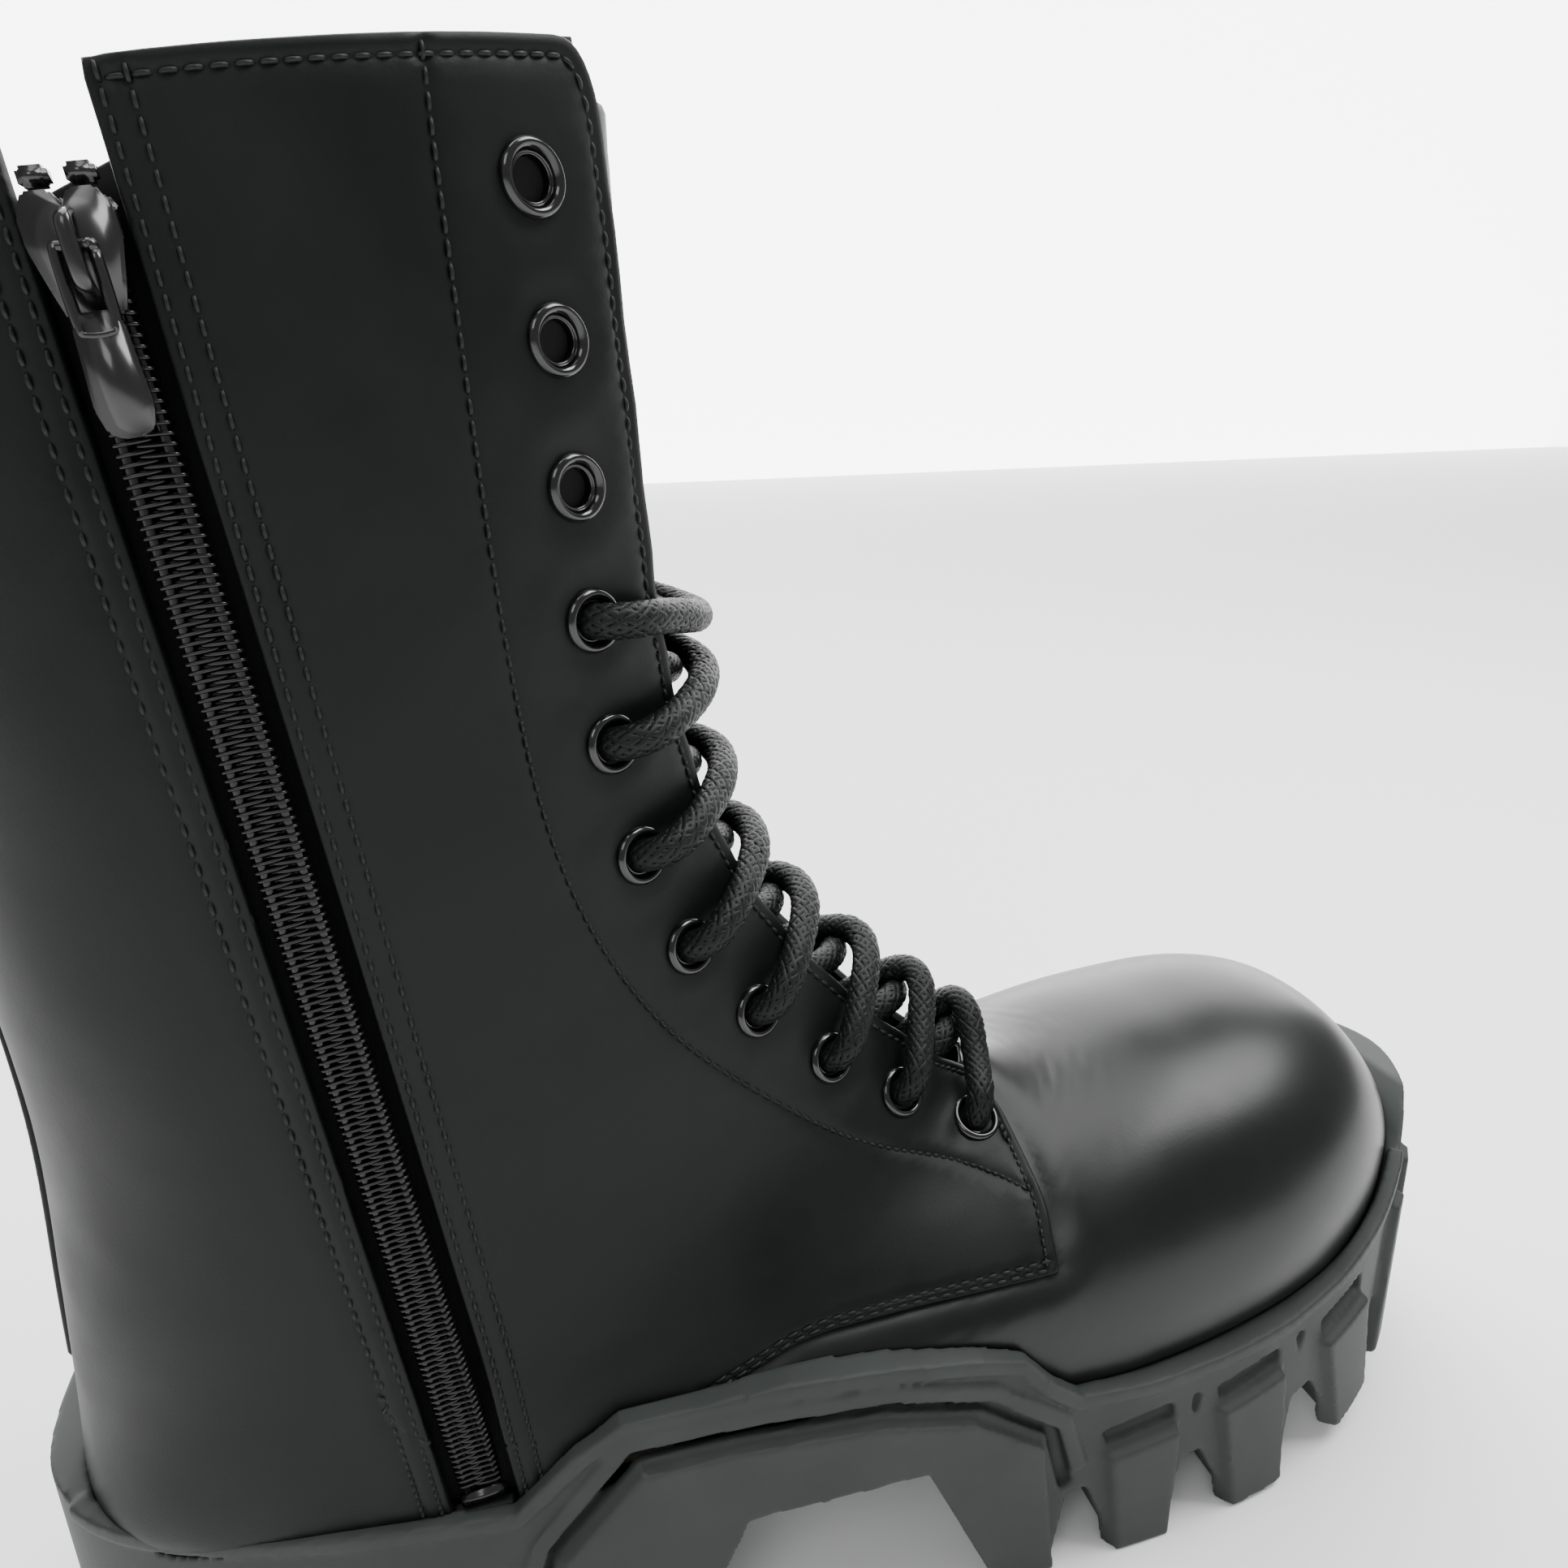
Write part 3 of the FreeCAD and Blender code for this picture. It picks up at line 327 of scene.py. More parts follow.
# ---------------------------------------------------------------- meshes
def new_object(name, vertices, faces, material, slot, body="boot", replaces=()):
    """Mesh object in metres from millimetre vertices, riding on a body."""
    mesh = bpy.data.meshes.new(name)
    mesh.from_pydata([tuple(float(c) * MM for c in vertex) for vertex in vertices], [],
                     [tuple(int(i) for i in face) for face in faces])
    mesh.validate()
    mesh.polygons.foreach_set("use_smooth", [True] * len(mesh.polygons))
    mesh.materials.append(material)
    item = bpy.data.objects.new(name, mesh)
    bpy.context.scene.collection.objects.link(item)
    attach(item, body)
    if replaces:
        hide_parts(*replaces)
    return item


class Bundle:
    """Vertices and faces of many small pieces that make one object."""

    def __init__(self):
        self.vertices = []
        self.faces = []
        self.count = 0

    def add(self, vertices, faces):
        """Take in one piece."""
        self.vertices.append(np.asarray(vertices, float))
        self.faces += [tuple(i + self.count for i in face) for face in faces]
        self.count += len(vertices)

    def make(self, name, *args, **words):
        """The object of all the pieces."""
        return new_object(name, np.vstack(self.vertices), self.faces, *args, **words)


def grid_faces(rows, columns, wrap=False, start=0):
    """Quads of a grid of vertices, row by row."""
    faces = []
    for row in range(rows - 1):
        for column in range(columns if wrap else columns - 1):
            after = (column + 1) % columns
            faces.append((start + row * columns + column, start + row * columns + after,
                          start + (row + 1) * columns + after, start + (row + 1) * columns + column))
    return faces


def lathe(profile, segments=40):
    """Vertices and faces of a profile of radius and height turned about Z."""
    angles = np.arange(segments) * 2 * np.pi / segments
    vertices = [(r * math.cos(a), r * math.sin(a), z) for r, z in profile for a in angles]
    return np.array(vertices), grid_faces(len(profile), segments, wrap=True)


def facing(point, normal, up=(0.0, 0.0, 1.0)):
    """Rotation columns and origin of a frame whose Z axis is the normal."""
    normal = np.asarray(normal, float) / np.linalg.norm(normal)
    across = np.cross(up, normal)
    across /= np.linalg.norm(across)
    return np.stack([across, np.cross(normal, across), normal], 1), np.asarray(point, float)


def placed(vertices, placement):
    """Vertices carried into a placement."""
    return vertices @ placement[0].T + placement[1]


def carried_frame(points):
    """Two directions across a line at each of its points, carried along it without twist."""
    run = np.gradient(points, axis=0)
    run /= np.linalg.norm(run, axis=1, keepdims=True)
    side = np.cross(run[0], (0.3, 0.5, 0.8))
    side /= np.linalg.norm(side)
    sides = [side]
    for tangent in run[1:]:
        side = sides[-1] - tangent * np.dot(sides[-1], tangent)
        sides.append(side / np.linalg.norm(side))
    sides = np.array(sides)
    return sides, np.cross(run, sides)


def tube(points, radius, sides=8, wide=1.0):
    """Round or flattened tube along points, with closed ends."""
    points = np.asarray(points, float)
    first, second = carried_frame(points)
    angles = np.arange(sides) * 2 * np.pi / sides
    rings = (points[:, None] + radius * wide * np.cos(angles)[None, :, None] * first[:, None]
             + radius * np.sin(angles)[None, :, None] * second[:, None])
    faces = grid_faces(len(points), sides, wrap=True)
    faces.append(tuple(range(sides))[::-1])
    faces.append(tuple(range((len(points) - 1) * sides, len(points) * sides)))
    return rings.reshape(-1, 3), faces


def panel(name, form, loop, height, material, spacing=2.4, thickness=2.0, holes=(), lines=(),
          rings=(0.12, 0.4, 0.85, 1.5), back=False, **words):
    """Leather panel: the flat loop is meshed, laid on the form and given its relief and rim."""
    loop = dense(loop, 1.1, closed=True)
    if area(loop) < 0:
        loop = loop[::-1]
    holes = [hole if area(hole) > 0 else hole[::-1] for hole in (np.asarray(h, float) for h in holes)]
    fixed = [loop] + list(holes)
    points = np.vstack(fixed)
    edges = []
    start = 0
    for ring in fixed:
        count = len(ring)
        edges += [(start + i, start + (i + 1) % count) for i in range(count)]
        start += count
    seeds = []
    for depth in rings:
        seeds.append((offset(loop, depth, closed=True), 0.55 * min(depth, 1.0), depth * 0.93))
        seeds += [(offset(hole, -depth, closed=True), 0.55 * min(depth, 1.0), depth * 0.93) for hole in holes]
    for line in lines:
        for side in (0.0, -0.5, 0.5, -1.2, 1.2):
            seeds.append((offset(dense(line, 1.0), side), 0.4, 0.4))
    low, high = loop.min(axis=0), loop.max(axis=0)
    rise = spacing * 0.866
    lattice = []
    for index, v in enumerate(np.arange(low[1], high[1], rise)):
        u = np.arange(low[0] + (index % 2) * spacing / 2, high[0], spacing)
        lattice.append(np.stack([u, np.full(len(u), v)], 1))
    seeds.append((np.vstack(lattice), 0.6 * spacing, 0.8))
    for places, apart, margin in seeds:
        places = places[inside(places, loop)]
        for hole in holes:
            places = places[~inside(places, hole)]
        if len(places) == 0:
            continue
        clear = distance(places, loop, closed=True)
        for hole in holes:
            clear = np.minimum(clear, distance(places, hole, closed=True))
        places = places[clear > margin * 0.98]
        tree = kdtree.KDTree(len(points))
        for index, place in enumerate(points):
            tree.insert((place[0], place[1], 0), index)
        tree.balance()
        kept = [place for place in places if tree.find((place[0], place[1], 0))[2] > apart]
        if kept:
            points = np.vstack([points, kept])
    result = geometry.delaunay_2d_cdt([Vector(p) for p in points], edges, [], 0, 1e-6)
    points = np.array([tuple(v) for v in result[0]])
    triangles = np.array([tuple(face) for face in result[2]])
    centres = points[triangles].mean(axis=1)
    keep = inside(centres, loop)
    for hole in holes:
        keep &= ~inside(centres, hole)
    triangles = triangles[keep]
    edge = distance(points, loop, closed=True)
    for hole in holes:
        edge = np.minimum(edge, distance(points, hole, closed=True))
    s, f = form.unflat(points)
    base, normal = form.point(s, f), form.normal(s, f)
    lift = height(points, edge, s, f)
    top = base + normal * lift[:, None]
    count = len(points)
    faces = [tuple(t) for t in triangles]
    facing_out = np.sum(np.cross(top[triangles[:, 1]] - top[triangles[:, 0]],
                                 top[triangles[:, 2]] - top[triangles[:, 0]]) * normal[triangles[:, 0]])
    if facing_out < 0:
        faces = [t[::-1] for t in faces]
    uses = {}
    for face in faces:
        for a, b in zip(face, face[1:] + face[:1]):
            uses[(a, b)] = 1
    rim = [(a, b) for a, b in uses if (b, a) not in uses]
    under = base - normal * thickness
    if back:
        vertices = np.vstack([top, under])
        faces += [tuple(i + count for i in face[::-1]) for face in faces]
        faces += [(b, a, a + count, b + count) for a, b in rim]
    else:
        used = sorted({i for pair in rim for i in pair})
        where = {old: count + new for new, old in enumerate(used)}
        vertices = np.vstack([top, under[used]])
        faces += [(b, a, where[a], where[b]) for a, b in rim]
    return new_object(name, vertices, faces, material, **words)


def rounded(edge, radius):
    """How far a rounded rim lies below the panel's face."""
    inner = np.clip(radius - edge, 0, radius)
    return radius - np.sqrt(np.maximum(radius ** 2 - inner ** 2, 0))


def ripple(points, size, seed=0.0):
    """Smooth noise over flat places, about -1 to 1."""
    return np.array([noise.noise((u / size, v / size, seed)) for u, v in points])


STITCH_ARCH = np.array([-0.42, 0.0, 0.16, 0.16, 0.0, -0.42])


def stitches(bundle, form, line, lift=0.0, pitch=2.9, radius=0.36, share=0.8):
    """Row of thread stitches along a flat line."""
    marks = along(dense(line, 0.5), pitch)
    ends = along(dense(line, 0.5), pitch, pitch * share)
    count = min(len(marks), len(ends))
    for first, last in zip(marks[:count], ends[:count]):
        line_uv = first + (last - first) * np.linspace(0, 1, 6)[:, None]
        s, f = form.unflat(line_uv)
        centres = form.point(s, f) + form.normal(s, f) * (lift + STITCH_ARCH)[:, None]
        bundle.add(*tube(centres, radius, 6))


# ---------------------------------------------------------------- materials
def shader(name, color, roughness, metallic=0.0, coat=0.0, coat_roughness=0.2, sheen=0.0, specular=0.5):
    """Principled material with its plain values set on the shader."""
    material = bpy.data.materials.new(name)
    material.use_nodes = True
    node = material.node_tree.nodes["Principled BSDF"]
    node.inputs["Base Color"].default_value = (*color, 1.0)
    node.inputs["Roughness"].default_value = roughness
    node.inputs["Metallic"].default_value = metallic
    node.inputs["Coat Weight"].default_value = coat
    node.inputs["Coat Roughness"].default_value = coat_roughness
    node.inputs["Sheen Weight"].default_value = sheen
    node.inputs["Specular IOR Level"].default_value = specular
    return material


NOISE, CELLS, WAVES = "ShaderNodeTexNoise", "ShaderNodeTexVoronoi", "ShaderNodeTexWave"


def add_relief(material, kind, scale, strength, depth, tint=None, rough=None):
    """Bump of one procedural texture in object space, which may also vary colour and roughness."""
    nodes, links = material.node_tree.nodes, material.node_tree.links
    bsdf = nodes["Principled BSDF"]
    place = nodes.new("ShaderNodeTexCoord")
    texture = nodes.new(kind)
    texture.inputs["Scale"].default_value = scale
    out = texture.outputs["Distance"] if kind == CELLS else texture.outputs[0]
    if kind == NOISE:
        texture.inputs["Detail"].default_value = 5.0
    links.new(place.outputs["Object"], texture.inputs["Vector"])
    bump = nodes.new("ShaderNodeBump")
    bump.inputs["Strength"].default_value = strength
    bump.inputs["Distance"].default_value = depth
    links.new(out, bump.inputs["Height"])
    if bsdf.inputs["Normal"].is_linked:
        links.new(bsdf.inputs["Normal"].links[0].from_socket, bump.inputs["Normal"])
    links.new(bump.outputs["Normal"], bsdf.inputs["Normal"])
    if tint:
        ramp = nodes.new("ShaderNodeValToRGB")
        ramp.color_ramp.elements[0].position = 0.3
        ramp.color_ramp.elements[1].position = 0.75
        ramp.color_ramp.elements[0].color = (*tint[0], 1.0)
        ramp.color_ramp.elements[1].color = (*tint[1], 1.0)
        links.new(out, ramp.inputs["Fac"])
        links.new(ramp.outputs["Color"], bsdf.inputs["Base Color"])
    if rough:
        spread_rough = nodes.new("ShaderNodeMapRange")
        spread_rough.inputs["From Min"].default_value = 0.3
        spread_rough.inputs["From Max"].default_value = 0.7
        spread_rough.inputs["To Min"].default_value = rough[0]
        spread_rough.inputs["To Max"].default_value = rough[1]
        links.new(out, spread_rough.inputs["Value"])
        links.new(spread_rough.outputs["Result"], bsdf.inputs["Roughness"])
    return material


def noisy(name, color, roughness, scale, strength, depth, **words):
    """Material with one fine noise bump."""
    return add_relief(shader(name, color, roughness, **words), NOISE, scale, strength, depth)


def dress(node_name, material):
    """Give a node of the CAD frame one material."""
    materials = bpy.data.objects[node_name].data.materials
    materials.clear()
    materials.append(material)


LEATHER_DARK = (0.0020, 0.0027, 0.0025)
LEATHER_TINT = (LEATHER_DARK, (0.0042, 0.0054, 0.0050))
RUBBER_TINT = ((0.023, 0.027, 0.0255), (0.031, 0.036, 0.0345))
leather = shader("black_leather", LEATHER_DARK, 0.46, specular=0.17)
add_relief(leather, NOISE, 42.0, 0.12, 0.0006, tint=LEATHER_TINT, rough=(0.42, 0.54))
add_relief(leather, CELLS, 1500.0, 0.10, 0.00012)
toe_leather = shader("toe_leather", LEATHER_DARK, 0.34, specular=0.32)
add_relief(toe_leather, NOISE, 34.0, 0.10, 0.0005, tint=LEATHER_TINT, rough=(0.27, 0.38))
add_relief(toe_leather, CELLS, 1500.0, 0.07, 0.0001)
lining_leather = noisy("lining_leather", (0.008, 0.008, 0.0078), 0.75, 160.0, 0.2, 0.0004, specular=0.12)
rubber = shader("sole_rubber", (0.026, 0.030, 0.0285), 0.60, specular=0.25)
add_relief(rubber, NOISE, 60.0, 0.06, 0.0005, tint=RUBBER_TINT)
add_relief(rubber, NOISE, 2600.0, 0.10, 0.0001)
thread_black = noisy("thread", (0.004, 0.005, 0.005), 0.5, 3000.0, 0.3, 0.0001, specular=0.25)
lacquer = noisy("black_lacquer", (0.003, 0.003, 0.0035), 0.14, 300.0, 0.03, 0.0001,
                coat=0.25, coat_roughness=0.06, specular=0.45)
nylon = noisy("zip_nylon", (0.003, 0.003, 0.004), 0.26, 800.0, 0.05, 0.0001, specular=0.35)
tape_cloth = shader("zip_tape", (0.003, 0.003, 0.0035), 0.9, specular=0.06)
add_relief(tape_cloth, WAVES, 900.0, 0.4, 0.0002)
braid_cloth = noisy("lace_braid", (0.0028, 0.0036, 0.0036), 0.5, 2600.0, 0.35, 0.0001, specular=0.22)
aglet_film = noisy("aglet_plastic", (0.010, 0.010, 0.010), 0.22, 500.0, 0.04, 0.0001)
zip_enamel = noisy("zip_metal", (0.004, 0.004, 0.0045), 0.24, 400.0, 0.05, 0.0001,
                   coat=0.25, coat_roughness=0.12, specular=0.45)
foam_cloth = noisy("footbed_foam", (0.035, 0.036, 0.036), 0.9, 1200.0, 0.5, 0.0003, sheen=0.3, specular=0.2)
HIDDEN_LOOKS = {
    "stiffener_board": shader("stiffener_board", (0.03, 0.03, 0.03), 0.9),
    "insole_board": shader("insole_board", (0.36, 0.28, 0.18), 0.9),
    "cork_filler": shader("cork_filler", (0.36, 0.24, 0.13), 0.9),
    "heel_foam": shader("heel_foam", (0.12, 0.12, 0.12), 0.8),
    "shank_steel": shader("shank_steel", (0.45, 0.46, 0.48), 0.35, metallic=1.0),
}
for look in HIDDEN_LOOKS.values():
    add_relief(look, NOISE, 500.0, 0.2, 0.0002)
HIDDEN_NODES = {
    "toe_puff": "stiffener_board", "heel_counter": "stiffener_board", "facing_medial": "stiffener_board",
    "facing_lateral": "stiffener_board", "insole_board": "insole_board", "bottom_filler": "cork_filler",
    "heel_core": "heel_foam", "steel_shank": "shank_steel",
}
for node_name, look_name in HIDDEN_NODES.items():
    dress(node_name, HIDDEN_LOOKS[look_name])
for node_name in ("eyelet_washers_medial", "eyelet_washers_lateral"):
    dress(node_name, lacquer)
dress("lining_vamp", lining_leather)

# ---------------------------------------------------------------- lines on the upper, in side view
SKIN = Form(0.0)
THROAT = [(24.0, 310.0), (22.0, 285.0), (20.8, 260.0), (18.6, 227.0), (16.4, 195.0), (14.5, 160.0),
          (12.5, 132.0), (9.0, 105.0), (6.5, 86.0)]
QUARTER_FRONT = [(192.0, 112.0), (199.5, 88.0), (200.0, 80.0), (199.0, 74.0), (198.2, 68.5)]
LOWER_SEAM = [(198.2, 68.5), (180.0, 67.0), (162.0, 66.0), (146.0, 65.0), (136.0, 62.5), (126.0, 59.5),
              (118.0, 56.0)]
FACING_LINE = [(100.0, 283.0), (100.5, 260.0), (103.0, 200.0), (108.5, 163.0), (121.0, 134.0), (140.0, 111.0),
               (165.0, 91.0), (197.5, 79.5)]
RIM = [(-4, 55), (10, 54), (40, 50), (66, 48), (88, 46.5), (100, 57), (108, 61.5), (122, 61.5), (140, 62.5),
       (160, 61.5), (178, 59), (187, 56.5), (193, 49.5), (200, 44), (216, 42.5), (236, 43.5), (254, 46),
       (270, 50), (286, 56.5), (300, 65), (309, 73), (324, 73)]
EYELET_PLACES = [(113.3, 268.4), (115.1, 246.8), (116.2, 225.3), (117.2, 204.0), (118.8, 182.8),
                 (122.4, 161.8), (130.5, 142.0), (143.6, 124.6), (159.6, 108.8), (176.0, 96.2), (192.8, 87.4)]
ZIP_BOTTOM, ZIP_TOP, ZIP_DEPTH = (82.5, 50.0), (57.0, 262.0), 45.2
ZIP_LEAN = math.atan2(ZIP_TOP[0] - ZIP_BOTTOM[0], ZIP_TOP[1] - ZIP_BOTTOM[1])
# The quarters' edges and rows of stitches, off the zip's middle line
ZIP_EDGE, ZIP_ROWS = 6.0, (7.6, 10.8)
HIDDEN_DEPTH = 6.0


def zip_line(shift, low, high, count=12):
    """Side-view line beside the zip's middle."""
    points = []
    for z in np.linspace(high, low, count):
        points.append((ZIP_BOTTOM[0] + math.tan(ZIP_LEAN) * (z - ZIP_BOTTOM[1]) + shift, z))
    return points


def zip_side_line(form, shift, low_z=42.0, high_z=296.0, count=130):
    """Flat line beside the zip from the top down, true to its straight side view."""
    points = np.array(zip_line(shift, low_z, high_z, count))
    s, f = form.seen_at(points[:, 0], points[:, 1], MEDIAL)
    wanted = points - (MIDDLE, 0.0)
    for _ in range(12):
        miss = wanted - form.point(s, f)[:, [0, 2]]
        slope = (form.point(s, f + 0.002) - form.point(s, f - 0.002))[:, [0, 2]] / 0.004
        f = f + np.clip(np.sum(miss * slope, 1) / np.sum(slope ** 2, 1), -0.01, 0.01)
    line = form.flat(s, f)
    return line[line[:, 1] > 0.3]


def throat_edge(form, count=60, last=8.6):
    """Section positions and shares of the flap's edge, from the top down."""
    s = np.linspace(0.0, last, count)
    heights = [z for _, z in THROAT][::-1]
    gaps = [y for y, _ in THROAT][::-1]
    low, high = np.zeros(count), np.full(count, 0.5)
    for _ in range(40):
        guess = (low + high) / 2
        place = form.point(s, guess)
        wide = place[:, 1] > np.interp(place[:, 2], heights, gaps)
        high = np.where(wide, guess, high)
        low = np.where(wide, low, guess)
    return s, guess


def rim_share(form, side, x_values):
    """Flat line hidden a little below the sole's rim."""
    stations, heights = zip(*RIM)
    points = [(x, float(np.interp(x, stations, heights)) - HIDDEN_DEPTH) for x in x_values]
    return form.line(points, side)


edge_s, edge_f = throat_edge(SKIN)
EDGE = SKIN.flat(edge_s, edge_f)


def eyelet_frames(side):
    """Points and outward normals of the eyelets."""
    s, f = SKIN.seen_at([x for x, _ in EYELET_PLACES], [z for _, z in EYELET_PLACES], side)
    return SKIN.point(s, f), SKIN.normal(s, f), SKIN.flat(s, f)


EYELETS = {side: eyelet_frames(side) for side in (MEDIAL, LATERAL)}
stitching = Bundle()


def mirrored(line, side):
    """Flat line on the medial side when the side is medial."""
    return np.asarray(line) * np.array([side, 1.0])


def flap_wave(line, side):
    """The flap's edge with the slight waves that the lace pulls into it."""
    waves = np.zeros(len(line))
    for index in range(len(EYELET_PLACES) - 1):
        middle = (EYELETS[side][2][index] + EYELETS[side][2][index + 1]) / 2
        waves += 0.55 * np.exp(-((line[:, 1] - middle[1]) / 6.0) ** 2)
    return line - np.stack([side * waves, 0 * waves], 1)


def quarter(side):
    """Flat lines of the quarter: its flap edge, front corner and lower seam."""
    flap = flap_wave(mirrored(EDGE, side), side)
    corner = SKIN.line([(197.8, 91.5), (199.6, 87.5)] + QUARTER_FRONT[2:], side)
    flap = flap[distance(flap, corner) > 6.0]
    flap = flap[flap[:, 1] < corner[0][1]]
    seam = SKIN.line(smooth(LOWER_SEAM[:-1], 6), side)
    front = smooth(np.vstack([flap[-1:], corner[:1] + (flap[-1:] - corner[:1]) * 0.35, corner[1:]]), 6)
    return flap, front, seam


PANEL_RIM = 0.8


def leather_height(lines=(), eyelets=None, ripples=0.22, seed=0.0):
    """Relief of a leather panel: rounded rim, stitch furrows, dents round the eyelets and slow ripples."""
    def height(points, edge, s, f):
        lift = -rounded(edge, PANEL_RIM)
        for line in lines:
            near = distance(points, line)
            lift -= 0.32 * np.exp(-(near / 0.75) ** 2)
            lift += 0.10 * np.exp(-((near - 2.4) / 1.6) ** 2)
        if eyelets is not None:
            for centre in eyelets:
                near = np.linalg.norm(points - centre, axis=1)
                lift -= 0.28 * np.exp(-((near - 5.6) / 1.5) ** 2)
                lift += 0.22 * np.exp(-((near - 10.0) / 3.0) ** 2)
        lift += ripples * ripple(points, 24.0, seed) + 0.4 * ripples * ripple(points, 9.0, seed + 7)
        return lift
    return height


EYELET_HOLE = 3.3


def hole_loops(side):
    """Round holes for the eyelets, on the flattened surface."""
    angles = np.arange(20) * 2 * np.pi / 20
    circle = EYELET_HOLE * np.stack([np.cos(angles), np.sin(angles)], 1)
    return [centre + circle for centre in EYELETS[side][2]]


FACING = SKIN.line(smooth(FACING_LINE, 8), LATERAL)
BACK_LINE = SKIN.flat(np.linspace(6.15, 0.02, 50), np.ones(50))
STITCH_SINK = -0.22
EDGE_ROW = 2.6
TOP_CORNER = 6.5
quarter_loops = []
for side in (MEDIAL, LATERAL):
    flap, front, seam = quarter(side)
    foot = rim_share(SKIN, side, np.linspace(118, 96 if side == MEDIAL else 20, 14))
    if side == MEDIAL:
        zip_edge = zip_side_line(SKIN, ZIP_EDGE)[::-1]
        last_share = SKIN.unflat(zip_edge[-1:])[1][0]
    else:
        zip_edge = BACK_LINE
        last_share = 1.0
    top = SKIN.flat(np.zeros(60), np.linspace(last_share, side * edge_f[0], 60))
    brim = bend_corner(top, flap, TOP_CORNER)
    loop = np.vstack([brim, front, seam, foot, zip_edge])
    quarter_loops.append(loop)
    rows = [inset(np.vstack([brim[2:], front[:len(front) // 2]]), EDGE_ROW, loop), mirrored(FACING, side),
            inset(front[len(front) // 3:], 2.2, loop), inset(seam, 1.5, loop), inset(seam, 3.7, loop)]
    if side == MEDIAL:
        rows += [zip_side_line(SKIN, shift) for shift in ZIP_ROWS]
    name, node_name = (("quarter_medial_front_skin", "quarter_medial_front") if side == MEDIAL
                       else ("quarter_lateral_skin", "quarter_lateral"))
    panel(name, SKIN, loop, leather_height(rows, EYELETS[side][2], seed=side * 3.0), leather,
          holes=hole_loops(side), lines=rows, slot="black_leather", replaces=(node_name,))
    for row in rows:
        stitches(stitching, SKIN, row, STITCH_SINK)

# rear medial quarter
zip_edge = zip_side_line(SKIN, -ZIP_EDGE)
first_share = SKIN.unflat(zip_edge[:1])[1][0]
top = SKIN.flat(np.zeros(24), np.linspace(-1.0, first_share, 24))
foot = rim_share(SKIN, MEDIAL, np.linspace(80, 20, 10))
loop = np.vstack([zip_edge, foot, mirrored(BACK_LINE, MEDIAL), top[:-1]])
rows = [zip_side_line(SKIN, -shift) for shift in ZIP_ROWS] + [inset(top[1:-1], EDGE_ROW, loop)]
panel("quarter_medial_rear_skin", SKIN, loop, leather_height(rows, seed=5.0), leather,
      lines=rows, slot="black_leather", replaces=("quarter_medial_rear",))
for row in rows:
    stitches(stitching, SKIN, row, STITCH_SINK)

# vamp: one piece over the toes, its upper rim under the quarters
UNDERLAP = 7.0
foot_x = np.concatenate([np.linspace(112, 190, 14), np.linspace(194, 300, 26)])
foot_medial, foot_lateral = (rim_share(SKIN, side, foot_x) for side in (MEDIAL, LATERAL))
rear_edge = SKIN.line([(118.0 - UNDERLAP, 60.0), (136.0, 69.0), (162.0, 72.5), (190.0, 75.0)], MEDIAL)
collar_line = SKIN.flat(np.full(9, 8.0), np.linspace(-0.30, 0.30, 9))
collar_line = np.vstack([rear_edge, collar_line, mirrored(rear_edge, -1)[::-1]])
loop = np.vstack([collar_line, foot_lateral, SKIN.flat(np.full(30, 15.85), np.linspace(0.62, -0.62, 30)),
                  foot_medial[::-1]])
quarter_steps = []
for side in (MEDIAL, LATERAL):
    quarter_steps.append(np.vstack([SKIN.line(smooth(QUARTER_FRONT, 6), side),
                                    SKIN.line(smooth(LOWER_SEAM, 6), side)]))


def vamp_height(points, edge, s, f):
    """Vamp relief: sunk where the quarters lie on it, with slow dents and fine creases over the flex line."""
    near = np.minimum(distance(points, quarter_steps[0]), distance(points, quarter_steps[1]))
    under = inside(points, quarter_loops[0]) | inside(points, quarter_loops[1])
    lift = np.where(under, -1.5, -1.5 * np.clip(1 - near / 9.0, 0, 1) ** 2)
    lift += 0.30 * ripple(points, 26.0, 3.0) * np.clip((s - 8.0) / 2, 0, 1)
    crease = np.exp(-((s - 9.3) / 0.7) ** 2)
    lift += 0.12 * crease * ripple(points * np.array([0.35, 1.0]), 2.6, 9.0)
    return lift


panel("vamp_skin", SKIN, loop, vamp_height, toe_leather, spacing=2.0, slot="toe_leather", replaces=("vamp",))

# backstay
half_stay = 13.0
stay_s = np.linspace(0.12, 5.6, 40)
stay_left = SKIN.flat(stay_s, 1 - half_stay / np.interp(stay_s, SKIN.s, SKIN.girth))
stay_right = SKIN.flat(stay_s, 1 + half_stay / np.interp(stay_s, SKIN.s, SKIN.girth))
stay_loop = np.vstack([stay_left, stay_right[::-1]])
stay_rows = [inset(stay_left, 2.0, stay_loop), inset(stay_right, 2.0, stay_loop)]


def stay_height(points, edge, s, f):
    """The backstay's strip lies on the quarters."""
    lift = 1.35 - rounded(edge, 0.7)
    for line in stay_rows:
        lift -= 0.3 * np.exp(-(distance(points, line) / 0.75) ** 2)
    return lift


panel("backstay_skin", SKIN, stay_loop, stay_height, leather, thickness=0.2, lines=stay_rows,
      slot="black_leather", replaces=("backstay",))
for row in stay_rows:
    stitches(stitching, SKIN, row, 1.1)
stitching.make("stitching", thread_black, "black_leather")

# ---------------------------------------------------------------- lining, collar facing, tongue, zip underflap and tapes
LINING = Form(2.1)
# How far the lining's edge lies behind the flap's, as a share; and a share just short of the back line
EDGE_BACK, BACK_SHARE = 0.022, 0.9999
LINING_CORNER = 9.0
BESIDE_ZIP = 15.5
FRONT_FOOT, REAR_FOOT = [(185, 60), (150, 58), (115, 54)], [(60, 50), (25, 52)]


